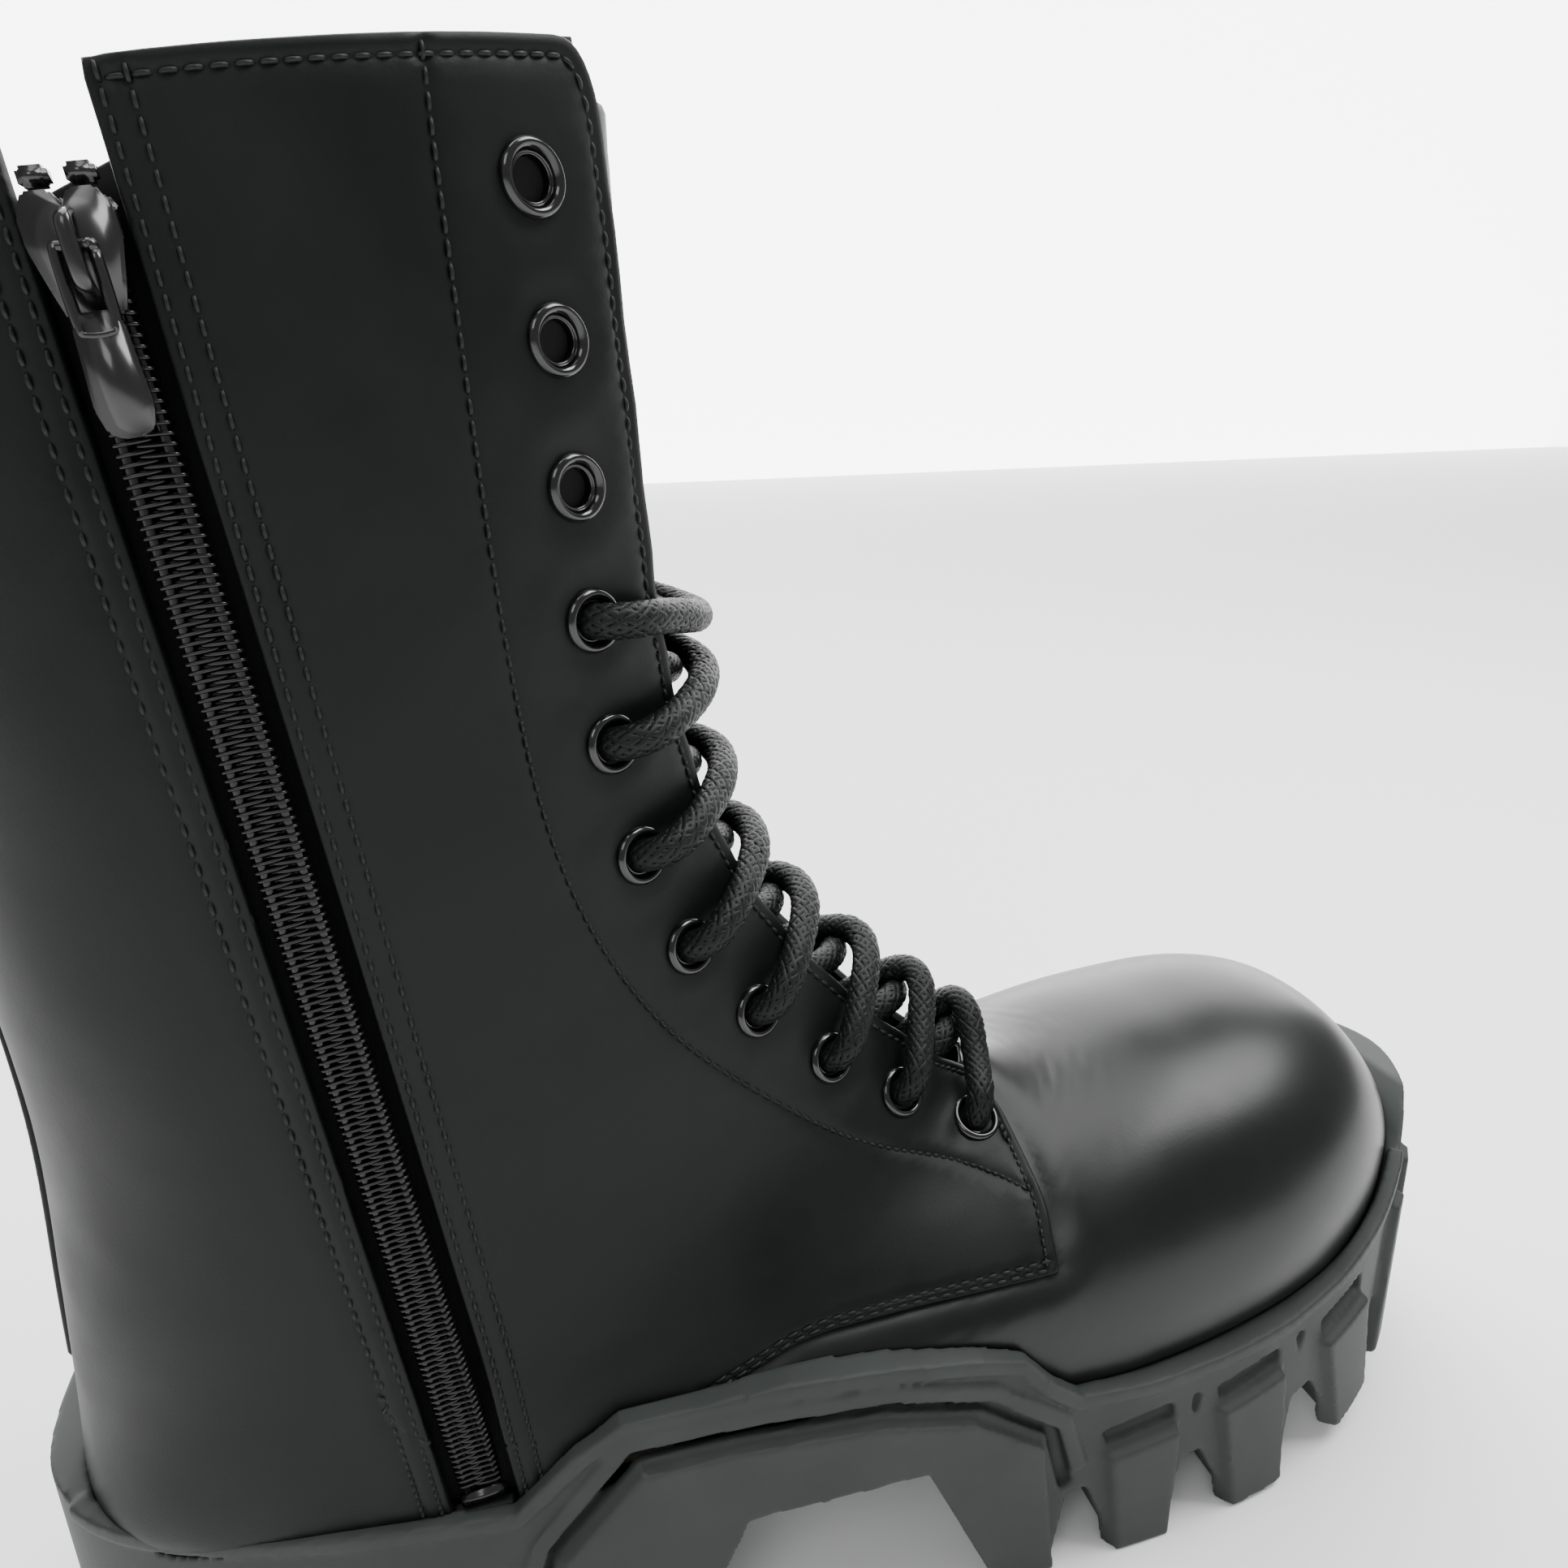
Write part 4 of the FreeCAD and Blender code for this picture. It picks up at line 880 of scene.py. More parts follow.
def lining_panel(name, loop, seed, **words):
    """Lining leather with a face on both sides."""
    panel(name, LINING, loop, leather_height(ripples=0.3, seed=seed), lining_leather, spacing=4.0,
          thickness=2.4, back=True, rings=(0.5,), slot="lining_leather", **words)


def lining_beside_zip(shift):
    """Flat line of the lining's edge beside the zip, from the top down."""
    line = LINING.line(zip_line(shift, 46.0, 286.0), MEDIAL)
    return line[line[:, 1] > 0.3]


s_edge, f_edge = throat_edge(LINING, 50, 8.0)
lining_flap = LINING.flat(s_edge, f_edge + EDGE_BACK)
lining_back = LINING.flat(np.linspace(6.3, 0.02, 24), np.full(24, BACK_SHARE))
behind = lining_beside_zip(BESIDE_ZIP)[::-1]
zip_share = LINING.unflat(behind[-1:])[1][0]
top = LINING.flat(np.full(60, 0.05), np.linspace(zip_share, -f_edge[0] - EDGE_BACK, 60))
low = LINING.line(FRONT_FOOT, MEDIAL)
brim = bend_corner(top, mirrored(lining_flap, MEDIAL), LINING_CORNER)
lining_panel("lining_medial_front", np.vstack([brim, low, behind[:-1]]), 11.0)
behind = lining_beside_zip(-BESIDE_ZIP)
zip_share = LINING.unflat(behind[:1])[1][0]
top = LINING.flat(np.full(10, 0.02), np.linspace(-BACK_SHARE, zip_share, 10))
low = LINING.line(REAR_FOOT, MEDIAL)
lining_panel("lining_medial_rear", np.vstack([behind, low, mirrored(lining_back, MEDIAL), top[1:-1]]), 12.0,
             replaces=("lining_medial",))
top = LINING.flat(np.full(80, 0.05), np.linspace(BACK_SHARE, f_edge[0] + EDGE_BACK, 80))
low = LINING.line(FRONT_FOOT + REAR_FOOT, LATERAL)
brim = bend_corner(top, lining_flap, LINING_CORNER)
lining_panel("lining_lateral_skin", np.vstack([brim, low, lining_back[:-1]]), 13.0,
             replaces=("lining_lateral",))

COLLAR = Form(4.6)
for index, (low_f, high_f) in enumerate(((0.35, 1.0), (-0.9999, -0.67), (-0.52, -0.35))):
    shares = np.linspace(low_f, high_f, 24)
    upper = COLLAR.flat(np.full(24, 0.03), shares)
    lower = COLLAR.flat(np.full(24, 0.62), shares)[::-1]
    words = {"replaces": ("collar_facing",)} if index == 0 else {}
    panel(f"collar_facing_{index + 1}", COLLAR, np.vstack([upper, lower]),
          leather_height(ripples=0.15, seed=21.0), leather, spacing=3.0, thickness=1.0, back=True,
          rings=(0.4, 0.8), slot="black_leather", **words)

TONGUE_INSETS = [13.0] * 7 + [12.5, 11.0, 8.0, 5.6, 5.0] + [5.0] * (len(SECTIONS) - 12)
TONGUE = Form(TONGUE_INSETS)
TONGUE_SIDE = [(93.0, 277.0), (97, 240), (99, 200), (105, 160), (119, 128), (141, 104), (166, 87), (190, 80),
               (214, 76)]
tongue_side = TONGUE.line(TONGUE_SIDE, LATERAL)
tongue_loop = np.vstack([tongue_side, mirrored(tongue_side, -1)[::-1]])
TONGUE_ROW = inset(tongue_side, 5.0, tongue_loop)


def tongue_height(points, edge, s, f):
    """Tongue relief: soft crowned pad inside its edge row."""
    lift = -rounded(edge, 1.4)
    for side in (MEDIAL, LATERAL):
        lift -= 0.5 * np.exp(-(distance(points, mirrored(TONGUE_ROW, side)) / 1.2) ** 2)
    lift += 0.35 * ripple(points, 18.0, 31.0) + 0.25 * np.clip((edge - 6) / 6, 0, 1)
    return lift


tongue_piece = panel("tongue_pad", TONGUE, tongue_loop, tongue_height, leather, spacing=2.6, thickness=3.4,
                     back=True, slot="black_leather", replaces=("tongue",),
                     lines=[TONGUE_ROW, mirrored(TONGUE_ROW, -1)])

FLAP, TAPE = Form(6.7), Form(2.2)


def beside_zip(form, first_shift, second_shift, low, high, margin):
    """Flat loop of a strip along the zip, cut off a little below the form's top."""
    one = form.line(zip_line(first_shift, low, high), MEDIAL)
    two = form.line(zip_line(second_shift, low, high), MEDIAL)
    one, two = one[one[:, 1] > margin], two[two[:, 1] > margin]
    return np.vstack([one, two[::-1]])


panel("zip_underflap_skin", FLAP, beside_zip(FLAP, -21.0, 21.0, 60.0, 275.0, 1.0),
      leather_height(ripples=0.3, seed=41.0), lining_leather, spacing=3.5, thickness=1.0, back=True,
      rings=(0.5,), slot="lining_leather", replaces=("zip_underflap",))
for side_name, low_shift, high_shift in (("front", 0.7, 14.8), ("rear", -14.8, -0.7)):
    loop = beside_zip(TAPE, low_shift, high_shift, 48.0, 276.0, 0.5)
    tape = panel(f"zip_tape_{side_name}_cloth", TAPE, loop, leather_height(ripples=0.05), tape_cloth,
                 spacing=3.0, thickness=0.8, back=True, rings=(0.5,), slot="zip_tape",
                 replaces=(f"zip_tape_{side_name}",))

# ---------------------------------------------------------------- the sole
SOLE_MEDIAL = [(0.5, 0), (4, 23), (18, 38), (45, 47), (80, 51.5), (122, 53), (165, 56), (200, 57.5), (230, 57),
               (256, 54), (280, 46.5), (298, 35), (313, 18.5)]
SOLE_LATERAL = [(320, 0), (314, 18.5), (300, 35), (283, 46.5), (260, 54), (235, 57.2), (200, 57), (165, 55),
                (122, 52), (80, 51.5), (45, 47), (18, 38), (4, 23)]
LUG = 18.0
TREAD = [(324, 44), (319, 40), (311, 26), (302, 17), (295, 31), (289, 29), (286.5, 8.5), (274, 4.5),
         (263, 23), (257.5, 21.5), (254.5, 1.4), (240.5, 0.4), (231, LUG + 0.5), (226.5, LUG), (223, 0),
         (210.5, 0), (203, LUG), (198.5, LUG), (195.5, 0), (182.5, 0), (167, 35), (130, 33), (127, 27),
         (116, 0), (92, 0), (89.5, 11), (83, 11), (80.5, 0), (58, 0), (55.5, 11), (49, 11), (46.5, 0),
         (24, 0), (10, 3), (0, 9), (-4, 12)]
PLAN_STEPS = 16
control = np.array([(x, -y) for x, y in SOLE_MEDIAL] + SOLE_LATERAL, float)
wrapped = np.vstack([control[-2:], control, control[:3]])
plan = smooth(wrapped, PLAN_STEPS)[2 * PLAN_STEPS:-2 * PLAN_STEPS]
plan = plan[:len(control) * PLAN_STEPS]
PLAN_LOOP = np.vstack([plan, plan[:1]])
lengths = np.concatenate([[0.0], np.cumsum(np.linalg.norm(np.diff(PLAN_LOOP, axis=0), axis=1))])
PERIMETER = lengths[-1]
run = np.roll(plan, -1, axis=0) - np.roll(plan, 1, axis=0)
PLAN_IN = np.stack([-run[:, 1], run[:, 0]], 1) / np.linalg.norm(run, axis=1, keepdims=True)
PLAN_IN = np.vstack([PLAN_IN, PLAN_IN[:1]])
TOE_STEP = len(SOLE_MEDIAL) * PLAN_STEPS
TOE_T = lengths[TOE_STEP]


def wall(t, z, depth=0.0):
    """Point of the sole's side wall: t runs round the outline from the heel along the medial side."""
    t, z = np.broadcast_arrays(np.mod(np.asarray(t, float), PERIMETER), np.asarray(z, float))
    x = np.interp(t, lengths, PLAN_LOOP[:, 0]) + depth * np.interp(t, lengths, PLAN_IN[:, 0])
    y = np.interp(t, lengths, PLAN_LOOP[:, 1]) + depth * np.interp(t, lengths, PLAN_IN[:, 1])
    return np.stack([x - MIDDLE, y, z], -1)


def t_at(x, side):
    """Distance round the outline of the station x on one side."""
    if side == MEDIAL:
        return np.interp(x, PLAN_LOOP[:TOE_STEP + 1, 0], lengths[:TOE_STEP + 1])
    return np.interp(-np.asarray(x, float), -PLAN_LOOP[TOE_STEP:, 0], lengths[TOE_STEP:])


def temporary(name, vertices, faces):
    """Object that only helps to build another."""
    mesh = bpy.data.meshes.new(name)
    mesh.from_pydata([tuple(map(float, v)) for v in vertices], [], faces)
    shaped = bmesh.new()
    shaped.from_mesh(mesh)
    bmesh.ops.remove_doubles(shaped, verts=shaped.verts, dist=1e-4)
    bmesh.ops.recalc_face_normals(shaped, faces=shaped.faces)
    shaped.to_mesh(mesh)
    shaped.free()
    item = bpy.data.objects.new(name, mesh)
    bpy.context.scene.collection.objects.link(item)
    return item


def applied(item):
    """Give an object a new mesh with its modifiers baked in."""
    shaped = item.evaluated_get(bpy.context.evaluated_depsgraph_get())
    mesh = bpy.data.meshes.new_from_object(shaped)
    item.modifiers.clear()
    old = item.data
    item.data = mesh
    bpy.data.meshes.remove(old)


def combine(item, cutter, operation):
    """Exact boolean that uses the cutter up."""
    change = item.modifiers.new("change", "BOOLEAN")
    change.operation = operation
    change.solver = "EXACT"
    change.object = cutter
    applied(item)
    bpy.data.objects.remove(cutter)


def prism(outline, low, high, axis):
    """Closed prism of a loop, along Y for a side outline or along Z for a plan."""
    outline = np.asarray(outline, float)
    count = len(outline)
    if axis == "Y":
        rings = [[(x - MIDDLE, level, z) for x, z in outline] for level in (low, high)]
    else:
        rings = [[(x, y, level) for x, y in outline] for level in (low, high)]
    faces = [tuple(range(count)), tuple(range(count, 2 * count))[::-1]]
    faces += [(i, (i + 1) % count, (i + 1) % count + count, i + count) for i in range(count)]
    return temporary("prism", rings[0] + rings[1], faces)


def block(corners_out, corners_in, depth_out, depth_in):
    """Closed block that follows the wall, between a four-cornered outline outside and one inside."""
    columns, rows = 10, 6
    layers = []
    for corners, depth in ((corners_out, depth_out), (corners_in, depth_in)):
        a, b, c, d = [np.array(corner, float) for corner in corners]
        across = np.linspace(0, 1, columns)[None, :, None]
        down = np.linspace(0, 1, rows)[:, None, None]
        flat = (a * (1 - across) + b * across) * (1 - down) + (d * (1 - across) + c * across) * down
        layers.append(wall(flat[..., 0], flat[..., 1], depth).reshape(-1, 3))
    count = rows * columns
    faces = grid_faces(rows, columns) + [face[::-1] for face in grid_faces(rows, columns, start=count)]
    border = list(range(columns)) + [r * columns + columns - 1 for r in range(1, rows)]
    border += [count - 1 - i for i in range(1, columns)] + [r * columns for r in range(rows - 2, 0, -1)]
    faces += [(b, a, a + count, b + count) for a, b in zip(border, border[1:] + border[:1])]
    return temporary("block", np.vstack(layers), faces)


def on_wall(corners, side):
    """Stations and heights of corners as distances round the wall and heights."""
    return [(float(t_at(x, side)), z) for x, z in corners]


def strip(points, width, depth_out, depth_in, side):
    """Block that follows a line on the wall."""
    flat = dense(np.array(on_wall(points, side)), 4.0)
    left, right = offset(flat, width / 2), offset(flat, -width / 2)
    count = len(flat)
    layers = []
    for depth in (depth_out, depth_in):
        layers.append(np.stack([wall(*left.T, depth), wall(*right.T, depth)], 1))
    rings = np.concatenate([layers[0], layers[1][:, ::-1]], axis=1)
    faces = grid_faces(count, 4, wrap=True) + [(0, 1, 2, 3), tuple(range(4 * count - 4, 4 * count))[::-1]]
    return temporary("strip", rings.reshape(-1, 3), faces)


RECESS = 2.4
body = prism(RIM + TREAD, -70, 70, "Y")
wall_loop = np.array([wall(t, 0.0, RECESS)[:2] for t in np.arange(0, PERIMETER, 2.5)])
combine(body, prism(wall_loop, -10, 100, "Z"), "INTERSECT")
cavity_form = Form(-0.15)
cavity_s = np.linspace(4.0, cavity_form.last, 70)
cavity_f = np.linspace(-1, 1, 73)[:-1]
cavity_grid = cavity_form.point(cavity_s[:, None], cavity_f[None, :]).reshape(-1, 3)
cavity_faces = grid_faces(len(cavity_s), len(cavity_f), wrap=True)
cavity_faces += [tuple(range(len(cavity_f)))[::-1],
                 tuple(range((len(cavity_s) - 1) * len(cavity_f), len(cavity_s) * len(cavity_f)))]
combine(body, temporary("cavity", cavity_grid, cavity_faces), "DIFFERENCE")
GROOVE = [(88.5, 24.0), (93.8, 36.0), (110.0, 53.2), (128.0, 53.4), (158.5, 52.3), (178.8, 47.6), (194.0, 36.6),
          (198.0, 20.0)]
for side in (MEDIAL, LATERAL):
    combine(body, strip(GROOVE, 3.0, -1.0, RECESS + 2.2, side), "DIFFERENCE")
parts = [body]

# Corners of faces, slots and slits as x, z: upper left, upper right, lower right, lower left
LUG_FACES = [
    ((207.5, 26.5), (223.5, 28.5), (223.0, 0.0), (210.5, 0.0)),
    ((235.5, 29.0), (251.5, 33.0), (254.5, 1.4), (240.5, 0.4)),
    ((266.0, 33.5), (280.0, 38.5), (286.5, 8.5), (274.0, 4.5)),
    ((58.0, 31.0), (80.0, 32.0), (80.5, 0.0), (58.0, 0.0)),
    ((26.0, 31.0), (46.5, 31.0), (46.5, 0.0), (24.0, 0.0)),
]
SLOTS = [
    ((206.0, 32.0), (223.0, 34.5), (223.5, 30.0), (207.5, 28.0)),
    ((234.5, 34.5), (251.0, 38.5), (251.5, 34.5), (235.5, 30.5)),
    ((265.0, 39.5), (279.5, 44.5), (280.0, 40.0), (266.0, 35.0)),
]
SLITS = [((227.8, 34.5), (230.2, 35.0), (229.4, 29.5), (228.4, 29.5)),
         ((256.6, 39.5), (259.0, 40.2), (258.2, 34.5), (257.2, 34.5))]
# The rear face of the arch panel, wider at its root, and the faces in front of it
ARCH_REAR = [(96.0, 33.5), (111.5, 50.0), (116.5, 0.0), (92.0, 0.0)]
ARCH_REAR_ROOT = [(93.0, 33.5), (110.5, 52.0), (117.0, 0.0), (90.0, 0.0)]
ARCH_FACES = [
    ((110.5, 49.6), (129.5, 50.0), (130.5, 33.2), (116.5, 0.6)),
    ((129.0, 50.0), (158.0, 49.0), (166.5, 35.2), (130.0, 33.2)),
    ((157.0, 49.0), (177.0, 44.6), (182.0, 0.6), (166.5, 35.2)),
    ((176.5, 44.7), (191.5, 34.5), (195.0, 0.6), (181.5, 0.6)),
]
FRAME_STRIP = [(86.0, 22.0), (91.5, 38.0), (108.5, 56.6), (128.0, 56.8), (159.5, 55.6), (180.5, 50.6),
               (196.5, 38.6), (200.5, 25.0)]
FRAME_GROOVE = [(193.8, 41.0), (197.6, 38.0), (200.8, 27.0)]
LIP = [(x, z - 1.6) for x, z in RIM if 6 <= x <= 302]
for side in (MEDIAL, LATERAL):
    for a, b, c, d in LUG_FACES:
        root = ((a[0] - 3.4, a[1] + 0.6), (b[0] + 0.8, b[1] + 0.6), (c[0] + 0.4, c[1]), (d[0] - 2.6, d[1]))
        parts.append(block(on_wall((a, b, c, d), side), on_wall(root, side), 0.0, RECESS + 1.5))
    parts.append(block(on_wall(ARCH_REAR, side), on_wall(ARCH_REAR_ROOT, side), 0.0, RECESS + 1.5))
    for corners in ARCH_FACES:
        parts.append(block(on_wall(corners, side), on_wall(corners, side), 0.0, RECESS + 1.5))
    parts.append(strip(FRAME_STRIP, 3.6, RECESS - 1.2, RECESS + 1.0, side))
    combine(parts[0], strip(FRAME_GROOVE, 1.3, -1.0, RECESS + 2.2, side), "DIFFERENCE")
    for cuts, depth in ((SLOTS, RECESS + 2.0), (SLITS, RECESS + 1.6)):
        for corners in cuts:
            cutter = block(on_wall(corners, side), on_wall(corners, side), -1.0, depth)
            combine(parts[0], cutter, "DIFFERENCE")
    parts.append(strip(LIP, 3.2, RECESS - 0.9, RECESS + 2.5, side))

# ribs that climb the toe bumper
for step in range(-3, 4):
    centre = TOE_T + step * 15.0
    high, low = 66.0 - abs(step) * 4, 20.0 - abs(step) * 2.5
    corners = [(centre - 3.2, high), (centre + 3.2, high), (centre + 5.0, low), (centre - 5.0, low)]
    root = [(centre - 5.2, high + 1), (centre + 5.2, high + 1),
            (centre + 7.0, low - 1), (centre - 7.0, low - 1)]
    parts.append(block(corners, root, 0.0, RECESS + 2.0))

with bpy.context.temp_override(active_object=parts[0], selected_editable_objects=parts, object=parts[0]):
    bpy.ops.object.join()
sole = parts[0]
rebuild = sole.modifiers.new("rebuild", "REMESH")
rebuild.mode = "VOXEL"
rebuild.voxel_size = 0.62
relax = sole.modifiers.new("relax", "SMOOTH")
relax.factor = 0.5
relax.iterations = 2
applied(sole)
sole_vertices = np.empty(len(sole.data.vertices) * 3)
sole.data.vertices.foreach_get("co", sole_vertices)
sole.data.vertices.foreach_set("co", sole_vertices * MM)
sole.name = "outsole_rubber"
sole.data.polygons.foreach_set("use_smooth", [True] * len(sole.data.polygons))
sole.data.materials.clear()
sole.data.materials.append(rubber)
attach(sole, "boot")
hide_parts("outsole")

# ---------------------------------------------------------------- footbed
BED = Form(4.9)
bed_plan = []
for side in (MEDIAL, LATERAL):
    xs = np.linspace(24, 292, 50)
    ss, fs = BED.seen_at(xs, np.interp(xs, SECTIONS[:, 2], SECTIONS[:, 3]) + 9.5, side)
    bed_plan.append(BED.point(ss, fs))
bed_bundle = Bundle()
columns = 17
bed_grid = []
for left, right in zip(*bed_plan):
    across = np.linspace(0, 1, columns)[:, None]
    line = left + (right - left) * across
    line[:, 2] -= 1.6 * np.sin(across[:, 0] * np.pi) ** 0.7
    bed_grid.append(line)
bed_bundle.add(np.vstack(bed_grid), grid_faces(len(bed_grid), columns))
footbed = bed_bundle.make("footbed_cover", foam_cloth, "footbed_foam", replaces=("footbed",))
thick = footbed.modifiers.new("thick", "SOLIDIFY")
thick.thickness = 0.004
thick.offset = 1.0
applied(footbed)

# ---------------------------------------------------------------- eyelets
FLANGE = [(3.00, -5.6), (3.00, -1.2), (3.02, -0.55), (3.12, -0.28), (3.30, -0.22), (3.42, -0.30), (3.55, -0.02),
          (3.75, 0.45), (4.05, 0.85), (4.45, 1.08), (4.85, 1.02), (5.2, 0.70), (5.42, 0.28), (5.5, -0.10),
          (5.45, -0.45)]
for side, word in ((MEDIAL, "medial"), (LATERAL, "lateral")):
    rivets = Bundle()
    vertices, faces = lathe(FLANGE, 44)
    for point, normal in zip(*EYELETS[side][:2]):
        rivets.add(placed(vertices, facing(point + normal * 0.05, normal)), faces)
    rivets.make(f"eyelets_{word}_flanges", lacquer, "black_lacquer", replaces=(f"eyelets_{word}",))

# ---------------------------------------------------------------- lace
LACE_DIAMETER = 6.0
OVER_LEATHER, UNDER_LEATHER = 4.6, 8.4
LAST_EYELET = len(EYELET_PLACES) - 1
TOP_LACED = len(EYELET_PLACES) - 8
FORWARD = {MEDIAL: 12.0, LATERAL: 5.3}


def lace_frame(side, index):
    """Eyelet's point, outward normal, direction up the lacing line and direction to the flap's edge."""
    points, normals, _ = EYELETS[side]
    up = points[max(index - 1, 0)] - points[min(index + 1, LAST_EYELET)]
    up /= np.linalg.norm(up)
    edge = np.cross(up, normals[index])
    edge /= np.linalg.norm(edge)
    return points[index], normals[index], up, edge * (-1 if edge[1] * side > 0 else 1)


def middle_point(index, share, sideways, forward):
    """Point over the middle of the throat, between one pair of eyelets and the pair above it."""
    base, fronts = np.zeros(3), np.zeros(3)
    for side in (MEDIAL, LATERAL):
        for step in (0, 1):
            point, normal, _, edge = lace_frame(side, max(index - step, 0))
            base += (point + edge * 12.5) * (share if step else 1 - share) * 0.5
            fronts += normal
    point, _, _, edge = lace_frame(MEDIAL, index)
    half_gap = abs((point + edge * 12.5)[1])
    front = np.array((fronts[0], 0.0, fronts[2])) / math.hypot(fronts[0], fronts[2])
    return base + front * forward + np.array((0.0, sideways * half_gap, 0.0))


def strand(index, side, forward):
    """Route from outside one eyelet, over the gap and under the other flap to the next eyelet up."""
    point, normal, up, edge = lace_frame(side, index)
    other, other_normal, other_up, other_edge = lace_frame(-side, index - 1)
    return [
        point + normal * OVER_LEATHER,
        point + normal * 4.4 + edge * 12.0 + up * 1.0,
        middle_point(index, 0.20, side * 0.25, forward),
        middle_point(index, 0.36, -side * 0.45, forward - 2.5),
        other - other_normal * 8.0 + other_edge * 8.5 - other_up * 8.0,
        other - other_normal * UNDER_LEATHER,
    ]


def tucked_end(side):
    """Route of an end: over the top pair of laced eyelets, then up behind the other flap."""
    point, normal, up, edge = lace_frame(side, TOP_LACED)
    route = [
        point + normal * OVER_LEATHER,
        point + normal * 4.4 + edge * 12.0 - up * 1.0,
        middle_point(TOP_LACED + 1, 0.72, side * 0.25, FORWARD[side]),
        middle_point(TOP_LACED + 1, 0.78, -side * 0.45, FORWARD[side] - 2.5),
    ]
    for index, rise in ((TOP_LACED, 2.0), (TOP_LACED - 1, 0.0), (TOP_LACED - 2, 0.0)):
        other, other_normal, other_up, other_edge = lace_frame(-side, index)
        route.append(other - other_normal * (8.3 - 0.3 * (TOP_LACED - index))
                     + other_edge * (6.5 + TOP_LACED - index) + other_up * rise)
    return route


def lace_route():
    """The whole lace: one end, down the zigzag, across the bottom and back up to the other end."""
    first = tucked_end(MEDIAL)[::-1]
    side = MEDIAL
    for index in range(TOP_LACED + 1, LAST_EYELET + 1):
        side = -side
        first += strand(index, side, FORWARD[side])[::-1]
    point, normal = lace_frame(side, LAST_EYELET)[:2]
    first.append(point - normal * UNDER_LEATHER)
    side = -side
    point, normal = lace_frame(side, LAST_EYELET)[:2]
    first.append(point - normal * UNDER_LEATHER)
    for index in range(LAST_EYELET, TOP_LACED, -1):
        first += strand(index, side, FORWARD[side])
        side = -side
    return first + tucked_end(side)


def nurbs_points(route):
    """Points of the smooth line through a route, in millimetres."""
    curve = bpy.data.curves.new("lace_line", "CURVE")
    curve.dimensions = "3D"
    spline = curve.splines.new("NURBS")
    spline.points.add(len(route) - 1)
    for control_point, place in zip(spline.points, route):
        control_point.co = (*(place * MM), 1.0)
    spline.order_u = 3
    spline.use_endpoint_u = True
    spline.resolution_u = 24
    item = bpy.data.objects.new("lace_line", curve)
    bpy.context.scene.collection.objects.link(item)
    bpy.context.view_layer.update()
    mesh = bpy.data.meshes.new_from_object(item)
    places = np.array([tuple(vertex.co) for vertex in mesh.vertices]) / MM
    bpy.data.objects.remove(item)
    bpy.data.meshes.remove(mesh)
    return places


lace_points = along(nurbs_points(lace_route()), 0.9)


def braid(bundle, points, radius, strands=11, twist=21.0, wide=0.72, thick=0.30):
    """Two sets of flat strands that wind opposite ways round the line and cross over and under."""
    sides, others = carried_frame(points)
    travelled = np.concatenate([[0.0], np.cumsum(np.linalg.norm(np.diff(points, axis=0), axis=1))])
    for hand in (1, -1):
        for index in range(strands):
            angle = 2 * np.pi * (index / strands + hand * travelled / twist)
            phase = strands * travelled * 2 / twist * np.pi + np.pi * index
            lift = radius - thick + 0.15 * hand * np.sin(phase)
            radial = np.cos(angle)[:, None] * sides + np.sin(angle)[:, None] * others
            centre = points + radial * lift[:, None]
            tangent = np.gradient(centre, axis=0)
            tangent /= np.linalg.norm(tangent, axis=1, keepdims=True)
            across = np.cross(tangent, radial)
            across /= np.linalg.norm(across, axis=1, keepdims=True)
            corners = [(-1.0, 0.0), (-0.62, 0.8), (0.0, 1.0), (0.62, 0.8), (1.0, 0.0), (0.0, -0.6)]
            rings = np.stack([centre + across * wide * a + radial * thick * b for a, b in corners], 1)
            bundle.add(rings.reshape(-1, 3), grid_faces(len(points), len(corners), wrap=True))


lace_bundle = Bundle()
lace_bundle.add(*tube(lace_points, LACE_DIAMETER / 2 - 0.45, 10))
braid(lace_bundle, lace_points, LACE_DIAMETER / 2)
lace = lace_bundle.make("lace_braid", braid_cloth, "lace_braid", replaces=("lace",))
AGLET = [(0.01, -1.0), (2.5, -1.0), (2.5, 0.0), (2.3, 1.0), (2.25, 18.0), (2.0, 19.4), (1.2, 20.0),
         (0.01, 20.0)]
aglets = Bundle()
for tip, inner in ((lace_points[0], lace_points[3]), (lace_points[-1], lace_points[-4])):
    out = (tip - inner) / np.linalg.norm(tip - inner)
    vertices, faces = lathe(AGLET, 20)
    aglets.add(placed(vertices, facing(tip, out, (0.2, 1.0, 0.1))), faces)
aglet_piece = aglets.make("lace_aglet_tips", aglet_film, "aglet_plastic", replaces=("lace_aglets",))

# ---------------------------------------------------------------- side zip
ZIP_TURN = np.array([[math.cos(ZIP_LEAN), 0.0, math.sin(ZIP_LEAN)], [0.0, 1.0, 0.0],
                     [-math.sin(ZIP_LEAN), 0.0, math.cos(ZIP_LEAN)]])
ZIP_FOOT = np.array([ZIP_BOTTOM[0] - MIDDLE, -ZIP_DEPTH, ZIP_BOTTOM[1]])
CHAIN_LENGTH, COIL_PITCH = 212.0, 1.3
SLIDER_FOOT, SLIDER_LENGTH, SLIDER_WIDTH = 200.0, 14.0, 10.6


def in_zip(points):
    """Points of the zip's own frame, Z up the chain and -Y out of the boot, in the boot's frame."""
    return np.asarray(points, float) @ ZIP_TURN.T + ZIP_FOOT


